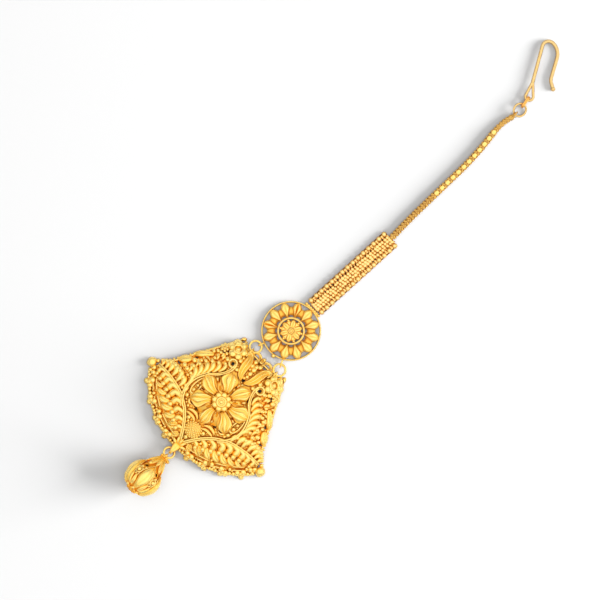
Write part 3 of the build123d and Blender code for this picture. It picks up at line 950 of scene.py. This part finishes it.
def centreFlower(shape):
    for k, (tip, half, bow, sway) in enumerate(flowerPetals):
        turn = radians(-90 + 360 * k / 7)
        line = [(flower["root"], 0), (3.6, bow * 0.5), (5.2, bow * 0.35), (tip, 0)]
        line = [(u * cos(turn) - v * sin(turn), u * sin(turn) + v * cos(turn)) for u, v in line]
        path = smoothCurve(line, step=0.16)
        share = np.linspace(0, 1, len(path))
        path[:, 2] = 0.3 + 0.45 * np.sin(pi * share) + 0.25 * share**2
        shape.leaf(path, tulipWidth(half), ribbed(flower["petalHeight"], sway), columns=25)
        # a low strip beside the root of each petal, painted fully in shade to stand for a shadowed slot, and
        # no granules there
        turn += pi / 7
        slot = smoothCurve([polar(turn, reach, 0.3) for reach in (2.4, 3.0, 3.7)], step=0.2)
        shape.leaf(slot, almond(0.24, blunt=0.4), flatFace(0.12, paintedShade=1.0), columns=5, foot=0.1)
        shape.taken.append((3.9 * cos(turn), 3.9 * sin(turn), 0.75))
        # a keel along the petal
        keel = path[len(path) // 5:] + (0, 0, 0.4)
        shape.leaf(keel, almond(0.42, blunt=0.8), domed(0.85, crease=0.2), columns=9)
    # the plate under the petals is painted half in shade
    shape.plate(flower["plate"], 48, paintedShade=0.5)
    for k in range(flower["scallops"]):
        turn = tau * (k + 0.5) / flower["scallops"]
        shape.ball(*polar(turn, flower["scallopReach"], 1.15), flower["scallop"], flat=0.7, segments=18)
    shape.ball(0, 0, 0.95, 1.6, flat=0.5, segments=24)
    shape.ring(0, 0, 1.72, flower["cup"], wire=0.24, segments=28)
    shape.ball(0, 0, 1.75, flower["seed"], flat=0.9, segments=18)


button = dict(y=-8.85, radius=1.9, lift=0.5, rings=5, ringPitch=0.215, granule=0.28, granulePitch=0.6)


def dottedButton(shape):
    # a low dome covered with granules
    radius = button["radius"]
    shape.ball(0, button["y"], button["lift"], radius, flat=0.5, segments=28)
    # its granules get less painted shade on their undersides
    shape.shade = 0.3
    for ring in range(button["rings"]):
        reach = radius * (0.1 + button["ringPitch"] * ring)
        count = max(1, int(round(tau * reach / button["granulePitch"])))
        lift = button["lift"] + radius * 0.5 * sqrt(max(1 - (reach / radius) ** 2, 0.0))
        for k in range(count):
            turn = tau * (k + 0.5 * (ring % 2)) / count
            y = button["y"] + reach * sin(turn) * 0.95
            shape.ball(reach * cos(turn), y, lift, button["granule"], segments=10)
    shape.shade = 0.5


groundGranules = ((0.62, 5000), (0.46, 6000), (0.34, 6000), (0.25, 6000))  # radius, places tried


def fillGround(shape, others):
    # granules of falling size on the ground that nothing else takes
    taken = [np.array(s.taken) for s in [shape] + others]
    taken = np.vstack(taken + [np.array([(x, y, max(a, b)) for x, y, a, b, _ in gaps])])
    added = 0
    for radius, tries in groundGranules:
        spots = chance.uniform((-17, -15), (17, 13), (tries, 2))
        spots = spots[fanInset(spots[:, 0], spots[:, 1]) > radius * 0.4]
        for x, y in spots:
            clear = np.hypot(taken[:, 0] - x, taken[:, 1] - y) - taken[:, 2]
            if clear.min() > radius * 0.45:
                taken = np.vstack([taken, (x, y, radius)])
                shape.ball(x, y, radius * 0.7, radius, segments=10)
                added += 1
    print("granules", added)


middleBeads = ((10.7, 0.52), (9.9, 0.62), (8.8, 0.56), (7.9, 0.42))  # y, radius, between the lyre leaves
bailFold = (
    # x, y, height: a strip of sheet from the fan's point, through the drop's ring and back
    (0, -54.3, 2.3),
    (0, -55.4, 2.45),
    (0, -56.6, 2.2),
    (0, -57.1, 1.6),
    (0, -56.5, 1.0),
    (0, -55.2, 0.75),
)


def makeBail():
    # leaf bail, and the two eyes on the top edge
    bail = Shape()

    def strap(t):
        return 0.34 + 0.54 * (0.5 + 0.5 * np.cos(pi * np.clip(t / 0.5, 0, 1) ** 1.6))

    line = smoothCurve(bailFold, step=0.12)
    bail.leaf(line, strap, domed(0.32, crease=0.4), columns=13, foot=0.1, across=(1, 0, 0))
    for name in ("link_ring_left", "link_ring_right"):
        x, _, h = boxMiddle(name)
        bail.loop(x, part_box(name)[0][1] / mm + 0.25, h, -90, radius=0.62, run=0.3, wire=0.2)
    makePiece(bail, "pendant_bail", "pendant")


def makePendant():
    leaves, wires, beads = Shape(), Shape(), Shape()
    for side in (1, -1):
        topCorner(leaves, side)
        flowerWires(leaves, wires, side)
        fronds(leaves, wires, side)
        hemOrnament(leaves, wires, side)
        sideEdge(leaves, side)
    centreFlower(beads)
    dottedButton(beads)
    # bead over the arches, column of beads, fan of tips over the bail, and a rope round the edge
    beads.ball(0.1, 13.25, 0.6, 0.48)
    for y, radius in middleBeads:
        beads.ball(0.05, y, 0.7, radius, flat=0.9, segments=16)
    for lean in (-66, -33, 0, 33, 66):
        turn = radians(90 + lean)
        tip = (2.2 * cos(turn), -13.9 + 2.2 * sin(turn))
        leaves.leaf(smoothCurve([(0, -13.9), tip], step=0.2) + (0, 0, 0.35), almond(0.42), domed(0.85))
    edge = fanOutline(0.05, 0.16)
    wires.tube(np.c_[edge, np.full(len(edge), 0.1)], 0.25, sides=8, closed=True, strands=2, pitch=0.9)
    fillGround(beads, [leaves, wires])
    makePiece(pendantSheet(), "pendant_sheet", "pendant", place=onFan)
    makePiece(leaves, "pendant_leaves", "pendant", place=onFan)
    makePiece(wires, "pendant_wires", "pendant", place=onFan)
    makePiece(beads, "pendant_flower", "pendant", place=onFan)
    makeBail()

# Rosette: creased petals on a smooth web, inside a double ring
rosette = {
    "aboveMiddle": 7.15,  # from its middle to the top of its box
    "radius": 6.58,
    "petals": 12,
    "petalHalf": 1.1,
    "petalHeight": 0.8,
    "crease": 0.3,
    "deepCrease": 1.0,
    "deeplyCreased": (1, 4),
    "barHalf": 2.0,
    "barUp": 6.8,
    "eye": 0.62,
    "eyeWire": 0.2,
}
rosettePetal = ((3.12, 0.8), (4.7, 0.95), (6.46, 0.75))  # distance from the middle, height
cupPetal = ((0.5, 1.0), (1.5, 0.95), (2.62, 0.7))
rosetteRings = (
    # height, radius, wire, segments, pitch of the twist or 0 for plain wire
    (0.62, rosette["radius"], 0.16, 120, 0),
    (0.27, rosette["radius"] - 0.02, 0.21, 320, 0.8),
    (1.15, 2.86, 0.16, 72, 0),
    (0.92, 3.02, 0.15, 180, 0.6),
    (0.45, 2.92, 0.26, 60, 0),
)


def rosettePetals(petals):
    width = kiteWidth(rosette["petalHalf"], widest=0.58, start=0.9, end=0.65)
    for k in range(rosette["petals"]):
        turn = radians(90 + 360 * k / rosette["petals"])
        line = smoothCurve([polar(turn, reach, h) for reach, h in rosettePetal], step=0.15)
        crease = rosette["deepCrease"] if k in rosette["deeplyCreased"] else rosette["crease"]
        petals.leaf(line, width, domed(rosette["petalHeight"], crease=crease), columns=17, foot=0.45)
    # web behind the petals, with a rounded notch between each two, painted well into shade
    wave = np.cos(rosette["petals"] * np.linspace(0, tau, 145)[:-1])
    outer, inner = 5.7 + 0.25 * wave, 3.42 - 0.2 * wave
    petals.plate(((inner, 0.62), (outer, 0.7), (outer, 0.3), (inner, 0.3)), 144, paintedShade=0.66, closed=True)


def cupFlower(petals, wires):
    # six pointed petals with granules between them, on a low dome, and a ringed seed
    for k in range(6):
        turn = radians(60 * k)
        line = smoothCurve([polar(turn, reach, h) for reach, h in cupPetal], step=0.15)
        petals.leaf(line, almond(0.74, blunt=0.55), domed(0.62, crease=0.5), columns=13, foot=0.3)
        between = turn + pi / 6
        wires.ball(*polar(between, 2.4, 0.7), 0.4)
        petals.ball(*polar(between, 0.98, 1.3), 0.28)
    petals.ball(0, 0, 0.62, 2.35, flat=0.24, segments=28)
    petals.ring(0, 0, 1.42, 0.5, wire=0.15, segments=20)
    petals.ball(0, 0, 1.42, 0.38)


def rosetteEyes(wires, middle):
    # an upright eye towards each link ring, in line with the rosette's middle
    for name in ("link_ring_left", "link_ring_right"):
        x, y, h = boxMiddle(name)
        out = np.array([x, y]) - middle[:2]
        reach = np.linalg.norm(out)
        out /= reach
        start = 6.7 + rosette["eye"] - 0.15
        run = reach - 1.35 - start
        heading = degrees(atan2(out[1], out[0]))
        wires.loop(*(start * out), h, heading, radius=rosette["eye"], run=run, wire=rosette["eyeWire"])


def makeRosette():
    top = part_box("rosette")[1][1] / mm
    middle = np.array([boxMiddle("rosette")[0], top - rosette["aboveMiddle"], 0])
    petals, wires = Shape(), Shape()
    rosettePetals(petals)
    for h, radius, wire, segments, pitch in rosetteRings:
        rope = {"strands": 2, "pitch": pitch} if pitch else {}
        wires.ring(0, 0, h, radius, wire=wire, segments=segments, sides=8, **rope)
    cupFlower(petals, wires)
    # bar with its beads towards the strands, and the solder ball below
    bar, up = rosette["barHalf"], rosette["barUp"]
    wires.tube(smoothCurve([(-bar, up, 0.5), (bar, up, 0.5)], step=0.2), 0.27, sides=10)
    for x in np.linspace(-1.9, 1.9, 7):
        petals.ball(x, 6.85, 0.6, 0.34)
    petals.ball(1.2, -6.75, 0.55, 0.52)
    rosetteEyes(wires, middle)

    def place(points):
        return points + middle

    makePiece(petals, "rosette_petals", "rosette", place=place)
    makePiece(wires, "rosette_wires", "rosette", place=place)


# Ball drop: leaves and seeds round an open teardrop, drawn flat as distance round, and up from its low pole
drop = {
    "middle": np.array([-0.25, -65.1, 4.4]),
    "eye": np.array([-0.1, -58.3, 2.305]),
    "radius": 3.62,
    "neck": 0.5,
    "neckEnd": 6.35,
    "leaves": 5,
    "twist": 0.07,
    "low": 0.35,  # where the cage begins and ends, up from the pole
    "high": 12.9,
    "cageSink": 0.12,
    "cage": 0.3,
    "eyeRadius": 0.62,
}
dropAxis = (drop["eye"] - drop["middle"]) / np.linalg.norm(drop["eye"] - drop["middle"])
girth = tau * drop["radius"]
dropWindows = ((8.1, 0.5, 0.42), (3.2, 0.3, 0.4))  # up, half width and half height, between each two leaves
dropSeeds = (
    # across, up, radius, in line with the ringed seed
    (0, 4.75, 0.26),
    (0, 6.9, 0.3),
    (0, 9.2, 0.36),
    (0, 2.4, 0.3),
    (0.8, 7.1, 0.22),
    (-0.8, 7.1, 0.22),
)


def dropProfile(m):
    # height along the axis, distance from it, and the angle of the surface, at m up the side
    radius, neck, end = drop["radius"], drop["neck"], drop["neckEnd"]
    far = hypot(end, neck)
    tangent = atan2(neck, end) + np.arccos(radius / far)
    turn = pi - tangent
    bend = np.clip(m / radius, 0, turn)
    beyond = np.maximum(m - radius * turn, 0)
    up = -radius * np.cos(bend) + beyond * sin(tangent)
    out = radius * np.sin(bend) - beyond * cos(tangent)
    return up, np.maximum(out, 0.0), bend


def onDrop(points):
    # points hold the turn round the axis, the way up from the pole and the height off the surface
    across = np.cross((0, 0, 1.0), dropAxis)
    across /= -np.linalg.norm(across)
    top = np.cross(across, dropAxis)
    top *= np.sign(top[2])
    turn, m, h = points.T
    up, out, bend = dropProfile(np.maximum(m, 0))
    away = np.sin(turn)[:, None] * across + np.cos(turn)[:, None] * top
    laid = drop["middle"] + up[:, None] * dropAxis + out[:, None] * away
    return laid + h[:, None] * (np.sin(bend)[:, None] * away - np.cos(bend)[:, None] * dropAxis)


def onCage(points):
    return onDrop(points * (1 / drop["radius"], 1, 1) + (drop["twist"], 0, -drop["cageSink"]))


def onAxis(points):
    # points drawn upright, from the low pole
    side = np.array([1.0, 0, 0]) - dropAxis[0] * dropAxis
    side /= np.linalg.norm(side)
    turned = np.stack([side, np.cross(dropAxis, side), dropAxis])
    return drop["middle"] - drop["radius"] * dropAxis + points @ turned


class DropShape(Shape):
    # a shape drawn about one meridian at a time, whose x is turned into an angle round the axis
    turn = 0.0

    def add(self, points, faces, paintedShade):
        _, out, _ = dropProfile(np.maximum(points[:, 1], 0))
        points = np.array(points, float)
        points[:, 0] = points[:, 0] / np.maximum(out, 0.35) + self.turn
        super().add(points, faces, paintedShade)


def dropCage():
    # a thin shell unrolled, with a round window between each two leaves, above and below the seed; the shell
    # is painted nearly all in shade
    low, high, count = drop["low"], drop["high"], drop["leaves"]
    around = np.linspace(0, tau, 18, endpoint=False)
    windows = [((k + 0.5) * girth / count, m, a, b) for k in range(count) for m, a, b in dropWindows]
    holes = [np.stack([x + a * np.cos(around), m + b * np.sin(around)], -1) for x, m, a, b in windows]
    across, up = np.linspace(0, girth, 42), np.linspace(low, high, 24)
    edge = [np.c_[across, np.full(42, low)], np.c_[np.full(24, girth), up][1:]]
    edge += [np.c_[across, np.full(42, high)][::-1][1:], np.c_[np.zeros(24), up][::-1][1:-1]]

    def inside(x, m, margin):
        rim = 0.1 * (margin > 1)
        if not (rim <= x <= girth - rim and low <= m <= high):
            return False
        return all(hypot((x - wx) / a, (m - wm) / b) > margin for wx, wm, a, b in windows)

    return sheetShape(np.vstack(edge), holes, inside, spacing=0.55, thick=drop["cage"], paintedShade=0.9)


def bigLeaf(shape):
    # a leaf like a lozenge, smooth with a crease, in a wire rim, with neck leaves over its shoulders
    line = smoothCurve([(0, 1.9), (0.08, 5.0), (0, 8.9)], step=0.17)
    width = kiteWidth(1.4, widest=0.42, start=0.6, end=0.9)
    shape.leaf(line + (0, 0, 0.08), width, domed(0.62, crease=0.22), columns=21)
    for lean in (-1, 1):
        rim = smoothCurve([(0.0, 9.35), (0.9 * lean, 7.6), (1.62 * lean, 5.3), (1.1 * lean, 2.9)], step=0.18)
        shape.tube(rim + (0, 0, 0.12), 0.12, sides=6)
        line = smoothCurve([(0.28 * lean, 13.1), (0.75 * lean, 11.3), (1.55 * lean, 8.6)], step=0.17)
        width = eggWidth(0.66, blunt=0.6, out=0.8)
        shape.leaf(line + (0, 0, 0.02), width, domed(0.34, crease=0.25), columns=9, foot=0.3)
    line = smoothCurve([(0, 13.1), (0, 11.4), (0, 9.3)], step=0.17)
    shape.leaf(line + (0, 0, 0.12), almond(0.4, blunt=0.5), domed(0.36), columns=9, foot=0.3)
    shape.ball(0, 1.55, 0.0, 0.42)


def ringedSeed(shape):
    # a seed in a ring between the big leaves, with a pair of leaves under it and small grains round it
    shape.ring(0, 5.85, 0.16, 0.74, wire=0.17, segments=22)
    shape.ball(0, 5.85, 0.16, 0.5, flat=0.8, segments=14)
    for lean in (-1, 1):
        line = smoothCurve([(0.1 * lean, 1.9), (0.5 * lean, 3.2), (0.45 * lean, 4.9)], step=0.17)
        shape.leaf(line + (0, 0, 0.05), almond(0.5, blunt=0.6), domed(0.55, crease=0.3), columns=9)
    for x, y, radius in dropSeeds:
        shape.ball(x, y, 0.08, radius)


def poleAndCollar(beads):
    # rosette on the low pole, and the beaded collar on the neck
    for k in range(7):
        beads.ball(*polar(tau * k / 7, 1.0, 0.05), 0.42)
        beads.ball(*polar(tau * k / 7, 0.78, 10.35), 0.36)
    beads.ball(0, 0, -0.1, 0.5, flat=0.8, segments=16)
    beads.ball(1.25, 0.5, 10.3, 0.46, flat=0.9, segments=14)
    beads.ring(0, 0, 9.98, 0.66, wire=0.17, segments=28)
    beads.ring(0, 0, 10.7, 0.5, wire=0.15, segments=28)
    beads.tube([(0, 0, 9.4), (0, 0, 10.2), (0, 0, 10.9)], 0.42, sides=10, across=(1, 0, 0))


def makeDrop():
    leaves, beads, eye = DropShape(), Shape(), Shape()
    for k in range(drop["leaves"]):
        leaves.turn = tau * k / drop["leaves"] + drop["twist"]
        bigLeaf(leaves)
        leaves.turn = tau * (k + 0.5) / drop["leaves"] + drop["twist"]
        ringedSeed(leaves)
    poleAndCollar(beads)
    swing = np.linspace(0, tau, 24, endpoint=False)[:, None]
    up = np.cross((1.0, 0, 0), dropAxis)
    circle = drop["eye"] + drop["eyeRadius"] * (np.cos(swing) * dropAxis + np.sin(swing) * up)
    eye.tube(circle, 0.2, sides=10, closed=True, across=(1, 0, 0))
    makePiece(dropCage(), "drop_cage", "drop", place=onCage)
    makePiece(leaves, "drop_leaves", "drop", place=onDrop)
    makePiece(beads, "drop_beads", "drop", place=onAxis)
    makePiece(eye, "drop_eye", "drop")


# Strands of loose woven grains, with a row of beads down each side
band = {
    "low": np.array([-0.4, -11.05]),
    "high": np.array([0.56, 12.3]),
    "columns": (-1, 0, 1),
    "pitch": 0.66,
    "linkLength": 0.74,
    "height": 0.5,
    "slabHalf": 1.12,
    "barHalf": 0.95,
    "barWire": 0.32,
    "beads": 15,
    "beadRadius": 0.62,
    "beadPitch": 1.585,
    "beadStart": 0.64,
    "beadOffset": 1.76,
    "rowSlabHalf": 0.5,
    "meshGranule": 0.33,
}
bandLength = hypot(*(band["high"] - band["low"]))


def onBand(points):
    # x across to the right, y along from the low end
    ahead = (band["high"] - band["low"]) / np.linalg.norm(band["high"] - band["low"])
    right = np.array([ahead[1], -ahead[0]])
    flat = band["low"] + points[:, :1] * right + points[:, 1:2] * ahead
    return np.c_[flat, points[:, 2]]


def makeStrands():
    strands = Shape()
    # the grains are painted strongly darker towards their undersides, and the slab under them is painted
    # nearly all in shade, for the shade between them
    strands.shade = 0.95
    strands.slab(0, band["slabHalf"], 0.1, bandLength - 0.1, low=0.05, high=0.3, paintedShade=0.9)
    links = int(bandLength / band["linkLength"])
    h = band["height"]
    for column in band["columns"]:
        for k in range(links):
            # each grain strays a little from its place, lean and size, with a smaller one beside it
            slip = chance.uniform(-1, 1, 6)
            x = column * band["pitch"] + 0.09 * slip[0]
            y = (k + 0.5 + 0.22 * column) * bandLength / links + 0.08 * slip[1]
            y = min(max(y, 0.4), bandLength - 0.4)
            lean = 0.2 * (-1) ** k + 0.14 * slip[2]
            wide, long = 0.41 + 0.05 * slip[3], 0.4 + 0.05 * slip[4]
            halves = (lean, long, 0), (wide, -lean, 0), (0, 0, 0.4 + 0.03 * slip[5])
            strands.nugget((x, y, h), *halves, power=0.85, segments=12)
            strands.ball(x + 0.33, y + 0.37, h, 0.2 + 0.04 * slip[0], segments=8)
            # small grains that bridge to the bead rows
            if column:
                strands.ball(band["slabHalf"] * column, y + 0.1, h, 0.24 + 0.03 * slip[1], segments=10)
    for y in (0.25, bandLength - 0.25):
        bar = smoothCurve([(-band["barHalf"], y, h), (band["barHalf"], y, h)], step=0.2)
        strands.tube(bar, band["barWire"], sides=10)
    makePiece(strands, "strand_links", "strand_band", "band_gold_painted_shade", onBand)


def makeBeadRow(side, node):
    row = Shape()
    # the beads are painted strongly darker towards their undersides, and the slab under the row is painted
    # nearly all in shade
    row.shade = 0.95
    x, start, pitch = side * band["beadOffset"], band["beadStart"], band["beadPitch"]
    last = start + (band["beads"] - 1) * pitch
    row.tube([(x, start, 0.6), (x, bandLength / 2, 0.6), (x, last, 0.6)], 0.24, sides=8)
    row.slab(x, band["rowSlabHalf"], 0.3, last, low=0.1, high=0.4, paintedShade=0.9)
    for k in range(band["beads"]):
        y = start + k * pitch
        row.ball(x, y, 0.62, band["beadRadius"], segments=22)
        # a granule on the inner side between each two beads, which the strands mesh with
        if k + 1 < band["beads"]:
            row.ball(x - side * 0.36, y + pitch / 2, 0.55, band["meshGranule"], segments=14)
    makePiece(row, node + "_beads", node, "band_gold_painted_shade", onBand)


# Chain: a foxtail weave round the route, each link a pair of leaning grains on all four sides
chain = {
    "pitch": 0.84,
    "height": 0.8,
    "core": 0.5,
    "facetFrom": 25.0,
    "facetTo": 46.0,
    "facet": (0.56, 0.44, 0.26),  # half sizes along, across and up
    "facetLift": 0.53,
    "fineFrom": 46.0,  # past here the weave is finer
    "fine": 0.86,
    "collar": 0.55,
    "eye": 0.72,
    "eyeWire": 0.2,
}
chainRoute = (
    (0.15, 51.10),
    (-0.35, 48.6),
    (-0.30, 45.8),
    (0.20, 41.6),
    (0.52, 36.6),
    (0.50, 30.6),
    (0.40, 24.1),
    (0.38, 18.1),
    (0.52, 12.6),
)


def chainLink(shape, centre, ahead, side, up, fine):
    # two leaning grains on each of four sides, smaller by fine
    for quarter in range(4):
        turn = quarter * pi / 2
        out = cos(turn) * up + sin(turn) * side
        across = cos(turn) * side - sin(turn) * up
        for lean in (-1, 1):
            run = 0.86 * ahead + 0.5 * lean * across
            wide = -0.5 * lean * ahead + 0.86 * across
            spot = centre + (0.5 * out + 0.27 * lean * across) * fine
            shape.nugget(spot, run * 0.5 * fine, wide * 0.23, out * 0.28 * fine, power=0.85, segments=8)


def makeChain():
    line = smoothCurve([(x, y, chain["height"]) for x, y in chainRoute], step=0.1)
    run = runAlong(line)
    ahead, side, up = frames(line)
    weave, facets = Shape(), Shape()
    weave.tube(line[::6], chain["core"], sides=8)
    links = int(run[-1] / chain["pitch"])
    for k in range(links):
        n = int(np.argmin(np.abs(run - (k + 0.5) * run[-1] / links)))
        y = line[n, 1]
        chainLink(weave, line[n], ahead[n], side[n], up[n], chain["fine"] if y > chain["fineFrom"] else 1.0)
        # a bright cut facet on every second link of the middle stretch
        if k % 2 == 0 and chain["facetFrom"] < y < chain["facetTo"]:
            long, wide, high = chain["facet"]
            centre = line[n] + chain["facetLift"] * up[n]
            halves = ahead[n] * long, side[n] * wide, up[n] * high
            facets.nugget(centre, *halves, power=0.4, segments=12)
    # plain collars at the ends, and the eye on the hook's ring
    weave.tube(line[[0, 4, 8]], chain["collar"], sides=12)
    weave.tube(line[[-1, -5, -9]], chain["collar"], sides=12)
    x, y = chainRoute[0]
    eye = chain["eye"]
    weave.loop(x, y - 0.1 + eye, boxMiddle("hook_ring")[2], 90, radius=eye, run=0.05, wire=chain["eyeWire"])
    # the woven links in the darker painted-shade gold, the facets in plain gold
    makePiece(weave, "chain_links", "chain", "chain_gold_painted_shade")
    makePiece(facets, "chain_facets", "chain")


makePendant()
makeRosette()
makeDrop()
makeStrands()
makeBeadRow(-1, "bead_row_left")
makeBeadRow(1, "bead_row_right")
makeChain()
# wires that keep their own shape
wireFinish = {
    "hair_hook": "wire_gold",
    "hook_link": "link_gold_painted_shade",
    "hook_ring": "wire_gold",
    "link_ring_left": "ring_gold",
    "link_ring_right": "ring_gold",
    "drop_ring": "ring_gold",
}
for name, finish in wireFinish.items():
    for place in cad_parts[name].material_slots:
        place.material = golds[finish]
print("wires", len(wireFinish))

# Floor, light and camera
studio = {
    "floor": 0.3,
    "floorReach": 1.5,
    "keyX": 0.76,
    "keyY": 0.65,
    "keyLift": 13.5,
    "lampAway": 1.2,
    "lampSize": 1.0,
    "keyPower": 117.0,
    "topPower": 10.2,
    "skyHigh": 1.3,
    "skyLow": 0.6,
    "zenithDip": 0.3,
    "sideBoost": 0.25,
    "view": 0.135,
    "sensor": 36.0,
    "focusAbove": 0.002,
    "roll": 44.5,
    "cameraUp": 0.6,
    "lookX": -3.96,
    "lookY": -12.07,
}


def makeFloor():
    mesh = bpy.data.meshes.new("floor")
    reach = studio["floorReach"]
    corners = [(-reach, -reach, 0), (reach, -reach, 0), (reach, reach, 0), (-reach, reach, 0)]
    mesh.from_pydata(corners, [], [(0, 1, 2, 3)])
    floor = bpy.data.objects.new("floor", mesh)
    bpy.context.collection.objects.link(floor)
    material, shader, _ = newMaterial("pale_floor")
    tone = studio["floor"]
    shader.inputs["Base Color"].default_value = (tone, tone, tone, 1)
    shader.inputs["Roughness"].default_value = 0.9
    shader.inputs["Specular IOR Level"].default_value = 0.1
    mesh.materials.append(material)
    return floor


def makeSky(toward):
    # brightest overhead but for a dip at the zenith, and a little brighter on the side of the lamp
    world = bpy.data.worlds.new("studio")
    world.use_nodes = True
    bpy.context.scene.world = world
    tree = world.node_tree
    start = Value(tree, None)
    direction = start.node("ShaderNodeTexCoord", {}, {}, "Generated")
    split = start.node("ShaderNodeSeparateXYZ", {}, {"Vector": direction}, "Z")
    strength = split.ramp(0.3, 0.72) * (studio["skyHigh"] - studio["skyLow"]) + studio["skyLow"]
    strength = strength - split.ramp(0.985, 0.998) * studio["zenithDip"]
    settings = {"operation": "DOT_PRODUCT"}
    facing = start.node("ShaderNodeVectorMath", settings, {0: direction, 1: toward}, "Value")
    strength = strength + facing.ramp(0.2, 0.95) * studio["sideBoost"]
    background = tree.nodes["Background"]
    background.inputs["Color"].default_value = (1, 1, 1, 1)
    tree.links.new(strength.socket, background.inputs["Strength"])


def makeLamps(floor, toward):
    # a low wide lamp draws the soft shadows on the floor and one overhead fills them
    # neither lights the metal
    lit = bpy.data.collections.new("lit_floor")
    lit.objects.link(floor)
    for name, spot, power in (("key", toward, studio["keyPower"]), ("top", (0, 0, 1), studio["topPower"])):
        data = bpy.data.lights.new(name, "AREA")
        data.shape = "DISK"
        data.size = studio["lampSize"]
        data.energy = power
        lamp = bpy.data.objects.new(name, data)
        lamp.location = studio["lampAway"] * Vector(spot)
        lamp.rotation_euler = lamp.location.to_track_quat("Z", "Y").to_euler()
        bpy.context.collection.objects.link(lamp)
        lamp.light_linking.receiver_collection = lit


def makeCamera():
    # looks straight down, turned by roll, with the view so many metres wide
    data = bpy.data.cameras.new("camera")
    data.sensor_width = studio["sensor"]
    data.lens = studio["sensor"] * (studio["cameraUp"] - studio["focusAbove"]) / studio["view"]
    data.clip_start = 0.01
    camera = bpy.data.objects.new("camera", data)
    roll = radians(studio["roll"])
    right = Vector((sin(roll), cos(roll), 0))
    up = Vector((-cos(roll), sin(roll), 0))
    turn = Matrix((right, up, Vector((0, 0, 1)))).transposed()
    camera.matrix_world = turn.to_4x4()
    camera.location = (studio["lookX"] * mm, studio["lookY"] * mm, studio["cameraUp"])
    bpy.context.collection.objects.link(camera)
    bpy.context.scene.camera = camera


away = Vector((studio["keyX"], studio["keyY"], 0)).normalized()
lift = radians(studio["keyLift"])
toward = (away.x * cos(lift), away.y * cos(lift), sin(lift))
floor = makeFloor()
makeSky(toward)
makeLamps(floor, toward)
makeCamera()
bpy.context.scene.view_settings.view_transform = "Standard"
bpy.context.view_layer.update()
print("floor, sky, lamps and camera")
